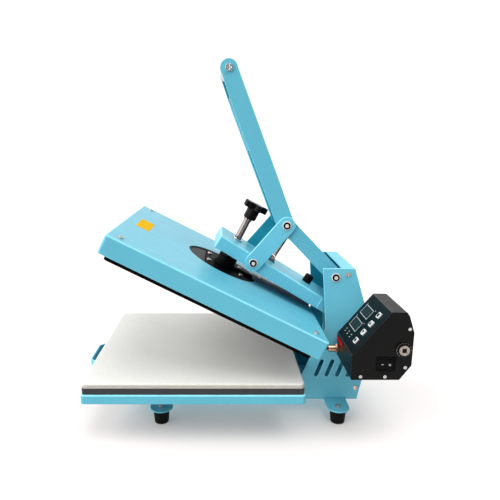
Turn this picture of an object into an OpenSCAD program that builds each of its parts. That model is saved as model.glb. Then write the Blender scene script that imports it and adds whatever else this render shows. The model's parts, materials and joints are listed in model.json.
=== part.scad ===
// Slide-out clamshell heat press with a hand lever, a pressure knob and a control box.
// Millimetres. The front of the press, where the drawer slides out, faces -X, the control box is on
// the -Y side and +Z is up. Lengths along X are measured from the middle of the platens.

/* [Platens] */
// Side of the square pad, lower plate and heat plate
platen_w = 380; // [360:1:386]
// Radius of the platens' upright corners
platen_corner_r = 6; // [2:0.5:15]
// Thickness of the silicone pad
pad_t = 9; // [5:0.5:15]
// Thickness of the lower plate
plate_t = 10.5; // [6:0.5:16]
// Gap left between pad and heat plate when the press is shut
press_gap = 0.4; // [0.3:0.1:2]

/* [Frame] */
// Height of the rubber feet
foot_h = 27; // [15:1:40]
// Diameter of a foot where it meets its tab
foot_d = 31; // [24:1:36]
// Diameter of a foot on the floor
foot_tip_d = 26; // [18:1:30]
// Thickness of the base plate
base_t = 3; // [2:0.5:5]
// Width of a foot tab
tab_w = 42; // [38:1:60]
// Distance from the middle of the press to a foot's centre, across
foot_y = 112; // [105:1:125]
// Front feet, measured from the platen's middle
front_foot_x = -64; // [-110:1:-40]
// Rear feet, behind the platens' rear edge
rear_foot_back = 76; // [50:1:90]
// Thickness of the side plates
side_t = 4; // [3:0.5:5]
// Clear width between the side plates
side_gap = 148; // [146:1:150]
// Front end of the base rails, behind the platens' front edge
rail_inset = 40; // [10:5:70]
// Height of the base rails above the base plate
base_rail_h = 40; // [36:1:43]
// Rear end of the side plates along the base, behind the platens' rear edge
base_rear_back = 120; // [110:1:130]
// Rearmost corner of the side plates, behind the platens' rear edge
chine_back = 146; // [140:1:155]
// Height of that corner above the base plate
chine_h = 121; // [100:1:140]
// Height of the side plates above the base plate
side_h = 256.5; // [255:0.5:280]
// Front end of the top edge, behind the platens' rear edge
top_front_back = 45; // [35:1:48]
// Rear end of the top edge, behind the platens' rear edge
top_rear_back = 104.5; // [95:0.5:110]
// Front edge where it is narrowest, behind the platens' rear edge
waist_back = 54; // [50:1:58]
// Its height above the base plate
waist_h = 142; // [130:1:160]
// Front corner above the base rail, behind the platens' rear edge
toe_back = 14; // [12:1:25]
// Its height above the base plate
toe_h = 53; // [48:1:60]
// Thickness of the rear cover
cover_t = 2; // [1:0.5:3]
// Width of the cap at the top of the rear cover
cap_w = 22; // [15:1:30]
// Number of vent slots
vent_n = 4; // [2:1:4]
// Width of a vent slot
vent_w = 8; // [5:0.5:10]
// Length of a vent slot between the centres of its round ends
vent_run = 29; // [20:1:32]
// Pitch of the vent slots
vent_pitch = 20.3; // [16:0.1:21]
// Lean of the vent slots from upright
vent_lean = 20.5; // [10:0.5:25]
// Lower end of the first vent slot, behind the platens' rear edge
vent_back = 39.5; // [36:0.5:42]
// Its height above the base plate
vent_h = 47; // [42:0.5:52]

/* [Drawer] */
// Height between base plate and tray
slide_gap = 46.5; // [46:0.5:55]
// Rim of the tray round the platens
tray_margin = 2; // [1.5:0.5:5]
// Height of the tray
tray_h = 16.5; // [14:0.5:22]
// Sheet thickness of the tray
tray_t = 2; // [1:0.5:3]
// Length of the drawer rails
rail_len = 300; // [250:5:320]
// Height of the fixed drawer rails
rail_h = 42; // [38:0.5:44]
// Depth of the fixed drawer rails
rail_d = 10.5; // [10:0.5:12]
// Sheet thickness of the drawer rails
rail_t = 1.5; // [1:0.25:2]
// Running gap between drawer rails
rail_gap = 0.4; // [0.3:0.05:0.6]
// Thickness of the drawer hangers
hanger_t = 2.5; // [2:0.5:4]
// Width of the flange under the tray
hanger_flange = 20; // [12:1:30]
// Reach of the strap handle in front of the tray
handle_reach = 20; // [18:1:40]
// Straight length of the strap handle's bar
handle_bar = 70; // [60:1:110]
// Height of the strap
handle_h = 14; // [10:1:16]
// Thickness of the strap
handle_t = 2.5; // [2:0.5:4]

/* [Head] */
// Width of the head cover beyond the heat plate, each side
head_margin = 12; // [8:0.5:16]
// Height of the head cover
head_h = 33; // [32:0.5:50]
// Sheet thickness of the head cover
head_t = 2; // [1:0.5:3]
// Radius of the head cover's upright corners
head_corner_r = 5; // [2:0.5:12]
// Height of the heat plate that shows under the cover
heat_show = 9.5; // [4:0.5:12]
// Thickness of the heat plate
heat_t = 20; // [14:0.5:21]
// Diameter of the round cut-out in the cover
cut_d = 146; // [140:1:160]
// Middle of the cut-out, behind the platens' middle
cut_x = 4; // [0:0.5:8]
// Corner screws of the cover, from its edges
head_screw_inset = 22; // [20:1:30]
// Diameter of the heating tube
element_d = 8; // [6:0.5:8]
// Thickness of the insulation board
insulation_t = 11; // [3:0.5:12]
// Gap between the centre casting and the cut-out's edge
casting_gap = 2; // [1:0.5:4]
// Straight front edge of the casting, ahead of the screw's axis
casting_front = 40; // [38:1:50]
// Screws of the casting, ahead of and behind the screw's axis
casting_hole_x = 34; // [30:1:36]
// Screws of the casting, to each side of the screw's axis
casting_hole_y = 29; // [26:1:32]
// Diameter of the casting's boss
boss_d = 38; // [34:1:50]
// Height of the casting's boss
boss_h = 20; // [16:0.5:22]
// Width of the steady bar
bar_w = 24; // [16:1:30]
// Thickness of the steady bar
bar_t = 6; // [4:0.5:7]
// Rear end of the steady bar, from the head's rear edge
bar_inset = 6; // [4:1:20]
// Overlap of the steady bar on the casting
bar_lap = 6; // [4:0.5:8]

/* [Swing arm] */
// Arm pivot, behind the platens' rear edge
arm_pivot_back = 96; // [94:0.5:98]
// Arm pivot, above the pad
arm_pivot_rise = 8; // [4:0.5:12]
// Diameter of the arm pivot shaft
arm_shaft_d = 16; // [12:0.5:18]
// Angle of the open head
open_deg = 26.8; // [20:0.1:28]
// Width of the beam
beam_w = 120; // [118:1:121]
// Height of the beam
beam_h = 24.5; // [22:0.5:27]
// Sheet thickness of the beam
beam_t = 3; // [2:0.5:4]
// Front end of the shut beam
beam_front_x = -28; // [-32:1:-24]
// Top of the shut beam's front end, above the pad
beam_rise = 101; // [100:0.5:106]
// Slope of the shut beam
beam_rake = 5; // [4:0.5:5.5]
// Length of the beam
beam_len = 291; // [285:1:296]
// Distance of the link pin from the beam's front end
link_back = 77.5; // [72:0.5:84]
// Thickness of the hinge cheeks
cheek_t = 5; // [4:0.5:6]
// Radius of the hinge cheeks round the pivot
cheek_r = 20; // [18:0.5:24]
// Wall of the pivot tube
pivot_tube_t = 5; // [3:0.5:8]
// Distance of the rubber bumper from the beam's front end
bumper_back = 199; // [190:1:210]
// Diameter of the rubber bumper
bumper_d = 18; // [12:1:20]
// Height of the rubber bumper
bumper_h = 17; // [10:1:18]

/* [Pressure screw] */
// Screw axis behind the platen's middle
screw_x = 8.5; // [6:0.5:11]
// Diameter of the screw
screw_d = 14; // [10:0.5:16]
// Top of the knob above the pad, with the press shut
knob_rise = 178.5; // [176:0.5:182]
// Diameter of the star
knob_d = 51; // [46:1:58]
// Thickness of the star
knob_t = 13; // [10:0.5:16]
// Number of the star's lobes
knob_lobes = 5; // [3:1:6]
// Diameter of the star's lobes
lobe_d = 17; // [14:0.5:19]
// Diameter of the hub
hub_d = 24.5; // [20:0.5:28]
// Length of the hub
hub_h = 20; // [14:0.5:24]
// Diameter of the nut on the beam
nut_d = 21; // [19:0.5:26]
// Height of the nut on the beam
nut_h = 4; // [2:0.5:6]

/* [Lever] */
// Lever pivot, behind the platens' rear edge
lever_pivot_back = 69; // [66:0.5:72]
// Lever pivot, above the base plate
lever_pivot_h = 239.5; // [238:0.5:241]
// Length of the lower arm
low_len = 131.2; // [130:0.1:136]
// Direction of the lower arm
low_deg = 133.9; // [132:0.1:136]
// Length of the upper arm
up_len = 296.5; // [270:0.5:320]
// Direction of the upper arm
up_deg = 111.1; // [108:0.1:114]
// Width of the lever frame
lever_w = 120; // [118:1:121]
// Thickness of the lever frame
lever_t = 4; // [3:0.5:5]
// Front edge of the upper arm, from its centre line
up_front = 17; // [16:0.5:19]
// Back edge of the upper arm, from its centre line
up_back = 15; // [14:0.5:17]
// Half width of the lower arm
low_half = 14.5; // [13:0.5:16]
// Upper end of the front web, from the grip
web_top = 43; // [40:1:60]
// Length of the knob's slot in the web
slot_len = 150; // [146:1:170]
// Width of the knob's slot in the web
slot_w = 68; // [66:1:90]
// Diameter of the grip tube
grip_d = 30; // [18:0.5:30]
// Wall of the grip tube
grip_wall = 2; // [1.5:0.5:3]
// Diameter of the lever bolts
bolt_d = 12; // [8:0.5:14]
// Diameter of their washers
washer_d = 16.5; // [15:0.5:24]
// Thickness of their washers
washer_t = 1.6; // [1:0.2:2]
// Diameter of their turned ends
bolt_end_d = 6.5; // [5:0.5:11]
// Height of their turned ends
bolt_end_h = 3.6; // [2:0.2:4]

/* [Link and spring] */
// Thickness of the link plates
link_t = 5; // [4:0.5:5]
// Width of the link plates
link_w = 32; // [28:1:36]
// Clearance of the link plates beside the beam and the lever
link_gap = 1; // [0.5:0.1:1.5]
// Lower spring pin, behind the beam's front end
spring_back = 115.5; // [112:0.5:118]
// Lower spring pin, above the beam
spring_rise = 3; // [2.5:0.5:6]
// Upper spring pin, from the elbow along the lower arm
spring_pin_along = 23.4; // [22:0.1:25]
// Upper spring pin, from the lower arm's middle
spring_pin_off = 5.8; // [4:0.1:7]
// Diameter of both pins
spring_pin_d = 5; // [3:0.5:5]
// Diameter of the spring's wire
wire_d = 1.6; // [1:0.1:1.8]
// Outer diameter of the spring
coil_d = 9; // [8:0.5:12]
// Number of curls
curls = 22; // [12:1:24]

/* [Control box] */
// Depth of the box along X
box_x = 101.5; // [100:0.5:110]
// Width of the box along Y
box_y = 112; // [108:1:118]
// Height of the box
box_h = 119; // [116:0.5:126]
// Front of the box, behind the platens' rear edge
box_front_back = 76.5; // [74:0.5:78]
// Floor of the box, above the pad
box_rise = 7.7; // [6:0.1:12]
// Height of the upright face under the panel
box_face_h = 43; // [40:0.5:46]
// Depth of the sloping panel along X
panel_x = 63; // [61:0.5:66]
// Depth of the box's flat top
box_top_x = 25; // [20:0.5:28]
// Depth of the corner cut at the lower rear
box_cut_x = 20; // [14:0.5:26]
// Height of the corner cut at the lower rear
box_cut_h = 26; // [20:0.5:34]
// Height of the upright rear face's top
box_back_h = 83.5; // [78:0.5:90]
// Sheet thickness of the box
box_t = 2; // [1.5:0.25:3]
// Thickness of the display panel
panel_t = 1; // [0.6:0.1:1.5]
// Margin of the display panel on its face
panel_margin = 3; // [2:0.5:4]
// Length of a display window across the press
window_y = 42; // [36:1:44]
// Width of a display window along the slope
window_x = 20; // [16:0.5:22]
// Pitch of the display windows
window_pitch = 29.3; // [26:0.1:32]
// Side of a button
button_w = 11; // [8:0.5:12]
// Pitch of the buttons
button_pitch = 19.3; // [18:0.1:20]
// Height of a button above the panel
button_out = 2.2; // [1.6:0.1:3]
// Gap round a button
button_gap = 0.5; // [0.3:0.05:0.8]
// Width of the power switch's bezel
switch_x = 33; // [30:0.5:36]
// Height of the power switch's bezel
switch_z = 26; // [24:0.5:28]
// Tilt of the rocker in its off place
rocker_deg = 8; // [4:0.5:9]
// Diameter of the round power socket
socket_d = 25; // [20:0.5:28]
// Diameter of the heater lead
lead_d = 6; // [4:0.5:7]
// Diameter of the gland's nut across its corners
gland_nut_d = 18; // [16:0.5:20]
// Diameter of the gland's barrel
gland_d = 13; // [11:0.5:15]

/* [Hidden] */
$fn = 48;
fit = 0.05;
screw_clear = 0.5;
// Overrun of a cut past the face that it goes through
over = 1;
// Gap left under a screw's tip in its hole
tip_gap = 1;

steel_paint = [0.36, 0.75, 0.84];
chrome = [0.8, 0.81, 0.83];
black = [0.1, 0.1, 0.11];
rubber = [0.07, 0.07, 0.07];
zinc = [0.66, 0.67, 0.69];

// Platens, and what is placed from their edges
rear_edge = platen_w / 2;
tray_w = platen_w + 2 * tray_margin;
head_w = platen_w + 2 * head_margin;
head_screw_x = head_w / 2 - head_screw_inset;
rail_front_x = rail_inset - rear_edge;
rear_foot_x = rear_edge + rear_foot_back;
base_rear_x = rear_edge + base_rear_back;
chine_x = rear_edge + chine_back;
top_front_x = rear_edge + top_front_back;
top_rear_x = rear_edge + top_rear_back;
waist_x = rear_edge + waist_back;
toe_x = rear_edge + toe_back;
vent_x = rear_edge + vent_back;
arm_pivot_x = rear_edge + arm_pivot_back;
lever_pivot_x = rear_edge + lever_pivot_back;
box_front_x = rear_edge + box_front_back;

// Levels
base_top = foot_h + base_t;
tray_z = base_top + slide_gap;
tray_top = tray_z + tray_h;
pad_top = tray_top + plate_t + pad_t;
heat_z = pad_top + press_gap;
heat_top = heat_z + heat_t;
cover_z = heat_z + heat_show;
head_top = cover_z + head_h;

// Widths
side_in = side_gap / 2;
side_out = side_in + side_t;
beam_half = beam_w / 2;
lever_half = lever_w / 2;
link_in = max(beam_half, lever_half) + link_gap;
link_out = link_in + link_t;

// Overall reach, which sets the origin midway between front and rear
front_reach = tray_w / 2 + handle_reach;
rear_reach = box_front_x + box_x;
x_mid = (rear_reach - front_reach) / 2;

function along(p, deg, d) = p + d * [cos(deg), sin(deg)];
// Turns [x, z] about a pivot, front upwards for a positive angle
function tilt(p, c, a) =
  let (d = p - c)
    c + [d[0] * cos(a) + d[1] * sin(a), d[1] * cos(a) - d[0] * sin(a)];
function cross2(a, b) = a[0] * b[1] - a[1] * b[0];
// Where the line through p along d meets the line through q along e
function meet(p, d, q, e) = p + d * cross2(q - p, e) / cross2(d, e);
function inward(a, b) = [a[1] - b[1], b[0] - a[0]] / norm(b - a);
// A counter-clockwise outline drawn in by t
function inset(pts, t) = [
  for (i = [0 : len(pts) - 1])
    let (n = len(pts), a = inward(pts[(i + n - 1) % n], pts[i]), b = inward(pts[i], pts[(i + 1) % n]))
      pts[i] + t * (a + b) / (1 + a * b)
];

// Linkage points as [x, z], all with the head open
arm_pivot = [arm_pivot_x, pad_top + arm_pivot_rise];
lever_pivot = [lever_pivot_x, base_top + lever_pivot_h];
elbow = along(lever_pivot, low_deg, low_len);
grip = along(elbow, up_deg, up_len);
up_dir = [cos(up_deg), sin(up_deg)];
up_n = [-up_dir[1], up_dir[0]];
low_dir = [cos(low_deg), sin(low_deg)];
low_n = [-low_dir[1], low_dir[0]];
// Points on the shut beam, by distance behind its front end and height above its top
beam_start = [beam_front_x, pad_top + beam_rise];
beam_dir = [cos(beam_rake), -sin(beam_rake)];
beam_up = [sin(beam_rake), cos(beam_rake)];
function on_beam(back, up) = beam_start + back * beam_dir + up * beam_up;
link_shut = on_beam(link_back, -beam_h / 2);
link_foot = tilt(link_shut, arm_pivot, open_deg);
spring_foot_shut = on_beam(spring_back, spring_rise + spring_pin_d / 2);
spring_foot = tilt(spring_foot_shut, arm_pivot, open_deg);
spring_head = elbow - spring_pin_along * low_dir - spring_pin_off * low_n;

// Side views drawn as [x, z] and given a width from y0 to y1
module side_view(y0, y1) translate([0, y1, 0]) rotate([90, 0, 0]) linear_extrude(y1 - y0) children();
// Cross-sections drawn as [y, z] and drawn out from x0 to x1
module section(x0, x1) translate([x0, 0, 0]) rotate([90, 0, 90]) linear_extrude(x1 - x0) children();
module pin(p, d, y0, y1) translate([p[0], y1, p[1]]) rotate([90, 0, 0]) cylinder(d = d, h = y1 - y0);
module both_sides() {
  children();
  mirror([0, 1, 0]) children();
}
module plan_block(w, h, r) linear_extrude(h) rounded_square(w, w, r);
module rounded_square(x, y, r) {
  square([x - 2 * r, y], center = true);
  square([x, y - 2 * r], center = true);
  for (i = [-1, 1], j = [-1, 1]) translate([i * (x / 2 - r), j * (y / 2 - r)]) circle(r);
}
// A bar between two points with round ends
module bar_view(a, b, w) {
  d = b - a;
  translate(a) rotate(atan2(d[1], d[0])) translate([0, -w / 2]) square([norm(d), w]);
  for (p = [a, b]) translate(p) circle(d = w);
}
module strip(points, t) for (i = [0 : len(points) - 2]) bar_view(points[i], points[i + 1], t);
module arm_open() translate([arm_pivot[0], 0, arm_pivot[1]]) rotate([0, open_deg, 0])
  translate([-arm_pivot[0], 0, -arm_pivot[1]]) children();
module on_lever() translate([elbow[0], 0, elbow[1]]) rotate([0, -up_deg, 0]) children();
// Washer and turned end on a plate face at y, drawn towards +Y
dimple_d = 2;
dimple_deep = 1.2;
module bolt_end(p, y) {
  tip = y + washer_t + bolt_end_h;
  pin(p, washer_d, y, y + washer_t);
  difference() {
    pin(p, bolt_end_d, y + washer_t, tip);
    pin(p, dimple_d, tip - dimple_deep, tip + over);
  }
}
// Length and width of a screw's cross recess, as shares of its head's diameter
recess_long = 0.6;
recess_wide = 0.16;
module panhead(d, h, shank_d, shank) {
  difference() {
    cylinder(d = d, h = h);
    for (a = [0, 90]) rotate(a) translate([0, 0, h])
      cube([d * recess_long, d * recess_wide, h], center = true);
  }
  translate([0, 0, -shank]) cylinder(d = shank_d, h = shank);
}
// A fastener whose head faces -Y from a face at y
module panhead_near(p, y, d, h, shank_d, shank)
  translate([p[0], y, p[1]]) rotate([90, 0, 0]) panhead(d, h, shank_d, shank);

// Frame

side_points = [
  [rail_front_x, 0], [base_rear_x, 0], [chine_x, chine_h], [top_rear_x, side_h], [top_front_x, side_h],
  [waist_x, waist_h], [toe_x, toe_h], [toe_x - (toe_h - base_rail_h) / 2, base_rail_h],
  [rail_front_x, base_rail_h]
];
side_screw_d = 5;
side_head_d = 9;
side_head_h = 2.6;
side_screw_past = 3;
// Side screws, in from the top rear corner and from the base's rear end
top_screw_in = 13.5;
top_screw_drop = 11;
low_screw_in = 5;
low_screw_h = 21.5;
top_screw = [top_rear_x - top_screw_in, base_top + side_h - top_screw_drop];
low_screw = [base_rear_x - low_screw_in, base_top + low_screw_h];
module side_plate() side_view(side_in, side_out) difference() {
  translate([0, base_top]) polygon(side_points);
  for (k = [0 : vent_n - 1]) let (p = [vent_x + k * vent_pitch, base_top + vent_h])
    bar_view(p, along(p, 90 - vent_lean, vent_run), vent_w);
  translate(lever_pivot) circle(d = bolt_d + 2 * fit);
  translate(arm_pivot) circle(d = arm_shaft_d + 2 * fit);
  for (p = [top_screw, low_screw]) translate(p) circle(d = side_screw_d + 2 * fit);
}
module near_side_plate() color(steel_paint) mirror([0, 1, 0]) side_plate();
module far_side_plate() color(steel_paint) side_plate();

foot_screw_d = 5;
foot_screw_len = 12;
foot_head_d = 10;
foot_head_h = 3;
foot_xs = [front_foot_x, rear_foot_x];
module foot_places() for (x = foot_xs, s = [-1, 1]) translate([x, s * foot_y, 0]) children();
module base_plate() color(steel_paint) translate([0, 0, foot_h]) linear_extrude(base_t) difference() {
  union() {
    translate([rail_front_x, -side_out]) square([base_rear_x - rail_front_x, 2 * side_out]);
    for (x = foot_xs) {
      translate([x - tab_w / 2, -foot_y]) square([tab_w, 2 * foot_y]);
      for (s = [-1, 1]) translate([x, s * foot_y]) circle(d = tab_w);
    }
  }
  for (x = foot_xs, s = [-1, 1]) translate([x, s * foot_y]) circle(d = foot_screw_d + 2 * fit);
}

// The rear cover is a folded sheet just inside the side plates' rear edges, closed to the front here
cover_set = 0.5;
cover_reach = 200;
cover_line = inset([
  [base_rear_x, base_top], [chine_x, base_top + chine_h], [top_rear_x, base_top + side_h],
  [top_rear_x - cover_reach, base_top + side_h], [base_rear_x - cover_reach, base_top]
], cover_t / 2 + cover_set);
cover_ear = 12;
module rear_cover() color(steel_paint) {
  side_view(-side_in, side_in)
    strip([cover_line[0], cover_line[1], cover_line[2], cover_line[2] - [cap_w, 0]], cover_t);
  // Ears that take the side plates' screws, inside the folded sheet
  difference() {
    intersection() {
      both_sides() side_view(side_in - cover_t, side_in) {
        bar_view(top_screw, [top_screw[0], cover_line[2][1]], cover_ear);
        bar_view(low_screw, [cover_line[0][0], low_screw[1]], cover_ear);
      }
      side_view(-side_out, side_out) polygon(cover_line);
    }
    for (p = [top_screw, low_screw]) pin(p, side_screw_d + 2 * fit, -side_out, side_out);
  }
}

module rubber_feet() color(rubber) foot_places() difference() {
  cylinder(d1 = foot_tip_d, d2 = foot_d, h = foot_h);
  translate([0, 0, foot_h - foot_screw_len]) cylinder(d = foot_screw_d + 2 * fit, h = foot_screw_len + over);
}
module frame_screws() color(chrome) {
  translate([0, 0, base_top]) foot_places()
    panhead(foot_head_d, foot_head_h, foot_screw_d, base_t + foot_screw_len - tip_gap);
  both_sides() for (p = [top_screw, low_screw])
    panhead_near(p, -side_out, side_head_d, side_head_h, side_screw_d, side_t + cover_t + side_screw_past);
}

module lever_pivot_bolt() color(chrome) {
  pin(lever_pivot, bolt_d, -side_out, side_out);
  both_sides() bolt_end(lever_pivot, side_out);
}
spacer_wall = 5;
module lever_spacers() color(zinc) both_sides() difference() {
  pin(lever_pivot, bolt_d + 2 * spacer_wall, lever_half + screw_clear, side_in);
  pin(lever_pivot, bolt_d + 2 * fit, 0, side_out);
}
shaft_nut_h = 8;
shaft_nut_wall = 4.8;
shaft_dimple_d = 11;
shaft_dimple_deep = 1;
module arm_pivot_shaft() color(zinc) difference() {
  union() {
    pin(arm_pivot, arm_shaft_d, -side_out, side_out + shaft_nut_h);
    pin(arm_pivot, arm_shaft_d + 2 * shaft_nut_wall, side_out, side_out + shaft_nut_h);
  }
  pin(arm_pivot, shaft_dimple_d, side_out + shaft_nut_h - shaft_dimple_deep, side_out + shaft_nut_h + over);
}

// Drawer rails: three nested channels each side, the innermost hung under the tray
rail_rear_x = rail_front_x + rail_len;
rail_mid_z = base_top + slide_gap / 2;
mid_h = rail_h - 2 * rail_t - 2 * rail_gap;
inner_h = mid_h - 2 * rail_t - 2 * rail_gap;
hang_y = side_out + rail_d + screw_clear;
hanger_z = rail_mid_z - inner_h / 2;
tray_under = tray_top - tray_t;
module channel(y0, y1, h, web_in) {
  translate([y0, rail_mid_z - h / 2]) square([y1 - y0, rail_t]);
  translate([y0, rail_mid_z + h / 2 - rail_t]) square([y1 - y0, rail_t]);
  translate([web_in ? y0 : y1 - rail_t, rail_mid_z - h / 2]) square([rail_t, h]);
}
module fixed_rails() color(zinc) both_sides()
  section(rail_front_x, rail_rear_x) channel(side_out, side_out + rail_d, rail_h, true);
module middle_rails() color(zinc) both_sides()
  section(rail_front_x, rail_rear_x)
    channel(side_out + rail_t + rail_gap, side_out + rail_d - rail_t / 2, mid_h, true);
module drawer_rails() color(zinc) both_sides()
  section(rail_front_x, rail_rear_x)
    channel(side_out + 2 * rail_t + 3 * rail_gap, hang_y + rail_t, inner_h, false);
module drawer_hangers() color(steel_paint) both_sides() section(rail_front_x, rail_rear_x) {
  translate([hang_y + rail_t, hanger_z]) square([hanger_t, tray_under - hanger_z]);
  translate([hang_y + rail_t, tray_under - hanger_t]) square([hanger_flange, hanger_t]);
}

module tray() color(steel_paint) translate([0, 0, tray_z]) difference() {
  plan_block(tray_w, tray_h, platen_corner_r);
  translate([0, 0, -over])
    plan_block(tray_w - 2 * tray_t, tray_h - tray_t + over, platen_corner_r - tray_t / 2);
}
module lower_plate() color([0.34, 0.35, 0.37])
  translate([0, 0, tray_top]) plan_block(platen_w, plate_t, platen_corner_r);
module silicone_pad() color([0.93, 0.93, 0.9])
  translate([0, 0, tray_top + plate_t]) plan_block(platen_w, pad_t, platen_corner_r);
handle_foot = 16;
// Run of the strap's slanted legs for each millimetre of their reach
handle_splay = 1.15;
handle_face_x = -tray_w / 2 - handle_t / 2;
handle_bar_x = -tray_w / 2 - handle_reach + handle_t / 2;
handle_leg = handle_bar / 2 + (handle_face_x - handle_bar_x) * handle_splay;
module handle_half() strip([
  [handle_face_x, handle_leg + handle_foot], [handle_face_x, handle_leg], [handle_bar_x, handle_bar / 2],
  [handle_bar_x, 0]
], handle_t);
module drawer_handle() color(steel_paint) translate([0, 0, tray_z + (tray_h - handle_h) / 2])
  linear_extrude(handle_h) difference() {
    both_sides() handle_half();
    translate([-tray_w / 2, -tray_w / 2]) square([tray_w, tray_w]);
  }

// Swing arm, modelled shut and turned open about the arm pivot

nut_lip = 2;
nut_spigot = 12;
nut_bore_d = nut_d - 2 * nut_lip;
nut_back = (screw_x - beam_front_x) / cos(beam_rake);
nut_z = on_beam(nut_back, 0)[1];
module arm_beam() color(steel_paint) arm_open() difference() {
  side_view(-beam_half, beam_half)
    polygon([on_beam(0, 0), on_beam(0, -beam_h), on_beam(beam_len, -beam_h), on_beam(beam_len, 0)]);
  side_view(-beam_half + beam_t, beam_half - beam_t) polygon([
    on_beam(beam_t, -beam_t), on_beam(beam_t, -beam_h - over),
    on_beam(beam_len + over, -beam_h - over), on_beam(beam_len + over, -beam_t)
  ]);
  translate([screw_x, 0, nut_z - beam_h]) cylinder(d = nut_bore_d, h = 2 * beam_h);
  pin(link_shut, bolt_d + 2 * fit, -beam_half - over, beam_half + over);
}
module link_pin() color(zinc) arm_open() pin(link_shut, bolt_d, -beam_half, beam_half);

cheek_len = 66;
cheek_heel = 24;
cheek_set = 2;
cheek_front = beam_len - cheek_len;
module cheek_view() {
  polygon([
    on_beam(cheek_front, -cheek_set), on_beam(cheek_front, -beam_h + cheek_set),
    on_beam(beam_len - cheek_heel, -beam_h), arm_pivot - [cheek_r, 0], arm_pivot + [cheek_r, 0],
    on_beam(beam_len, -cheek_set)
  ]);
  translate(arm_pivot) circle(cheek_r);
}
module arm_cheeks() color(steel_paint) arm_open() both_sides() difference() {
  side_view(beam_half, beam_half + cheek_t) cheek_view();
  pin(arm_pivot, arm_shaft_d + 2 * fit, 0, side_out);
}
module arm_pivot_tube() color(zinc) arm_open() difference() {
  pin(arm_pivot, arm_shaft_d + 2 * pivot_tube_t, -beam_half, beam_half);
  pin(arm_pivot, arm_shaft_d + 2 * fit, -side_out, side_out);
}
module on_beam_top(back)
  let (p = on_beam(back, 0)) translate([p[0], 0, p[1]]) rotate([0, beam_rake, 0]) children();
bumper_ease = 2;
module stop_bumper() color(rubber) arm_open() on_beam_top(bumper_back) {
  cylinder(d = bumper_d, h = bumper_h - bumper_ease);
  translate([0, 0, bumper_h - bumper_ease])
    cylinder(d1 = bumper_d, d2 = bumper_d - 2 * bumper_ease, h = bumper_ease);
}
// The nut's bore stands square to the head, and its seat follows the beam's slope
module screw_nut() color(chrome) arm_open() difference() {
  union() {
    on_beam_top(nut_back) cylinder(d = nut_d, h = nut_h);
    intersection() {
      translate([screw_x, 0, nut_z - nut_spigot])
        cylinder(d = nut_bore_d - 2 * fit, h = nut_spigot + nut_h / 2);
      on_beam_top(nut_back) translate([0, 0, -2 * nut_spigot]) cylinder(d = 2 * nut_d, h = 2 * nut_spigot);
    }
  }
  translate([screw_x, 0, nut_z - 2 * nut_spigot]) cylinder(d = screw_d + 2 * fit, h = 4 * nut_spigot);
}
post_t = 4;
post_gap = 1.5;
post_wall = 2.5;
post_foot = 8;
post_neck = 5;
post_in = coil_d / 2 + post_gap;
post_neck_h = spring_rise + 1;
module spring_post() color(zinc) arm_open() {
  pin(spring_foot_shut, spring_pin_d, -post_in - post_t, post_in + post_t);
  both_sides() side_view(post_in, post_in + post_t) {
    translate(spring_foot_shut) circle(d = spring_pin_d + 2 * post_wall);
    polygon([
      on_beam(spring_back - post_foot, 0), on_beam(spring_back + post_foot, 0),
      on_beam(spring_back + post_neck, post_neck_h), on_beam(spring_back - post_neck, post_neck_h)
    ]);
  }
}

// Head, modelled shut

element_clear = 0.1;
board_clear = 0.2;
element_z = heat_top + element_clear;
insulation_z = element_z + element_d + board_clear;
post_d = 13;
head_screw_d = 5;
head_hole_d = head_screw_d + 2 * fit;
head_bite = 10;
casting_bite = 8;
cover_under = head_top - head_t;
casting_h = head_top - heat_top;
// The steady bar laps on the casting and lies along the cover
bar_front_x = cut_x + cut_d / 2 - casting_gap - bar_lap;
bar_rear_x = head_w / 2 - bar_inset;
bar_front_end = 15;
bar_rear_end = 10;
bar_corner_r = 4;
module head_screw_places() for (i = [-1, 1], j = [-1, 1])
  translate([i * head_screw_x, j * head_screw_x, 0]) children();
module casting_places() for (i = [-1, 1], j = [-1, 1])
  translate([screw_x + i * casting_hole_x, j * casting_hole_y, 0]) children();
module bar_screw_places() for (x = [bar_front_x + bar_front_end, bar_rear_x - bar_rear_end])
  translate([x, 0, 0]) children();
module head_cover() color(steel_paint) arm_open() difference() {
  translate([0, 0, cover_z]) plan_block(head_w, head_h, head_corner_r);
  translate([0, 0, cover_z - over])
    plan_block(head_w - 2 * head_t, head_h - head_t + over, head_corner_r - head_t / 2);
  translate([cut_x, 0, cover_z]) cylinder(d = cut_d, h = head_h + over);
  translate([0, 0, cover_z]) {
    head_screw_places() cylinder(d = head_hole_d, h = head_h + over);
    bar_screw_places() cylinder(d = head_hole_d, h = head_h + over);
  }
  translate([head_w / 2 - head_t - over, grommet_y, grommet_z]) rotate([0, 90, 0])
    cylinder(d = grommet_d, h = head_t + 2 * over);
}
module heat_plate() color(black) arm_open() difference() {
  union() {
    translate([0, 0, heat_z]) plan_block(platen_w, heat_t, platen_corner_r);
    translate([0, 0, heat_top]) head_screw_places() cylinder(d = post_d, h = cover_under - heat_top);
  }
  translate([0, 0, cover_under - head_bite - tip_gap]) head_screw_places()
    cylinder(d = head_hole_d, h = head_bite + tip_gap + over);
  translate([0, 0, heat_top - casting_bite - tip_gap]) casting_places()
    cylinder(d = head_hole_d, h = casting_bite + tip_gap + over);
}
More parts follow.
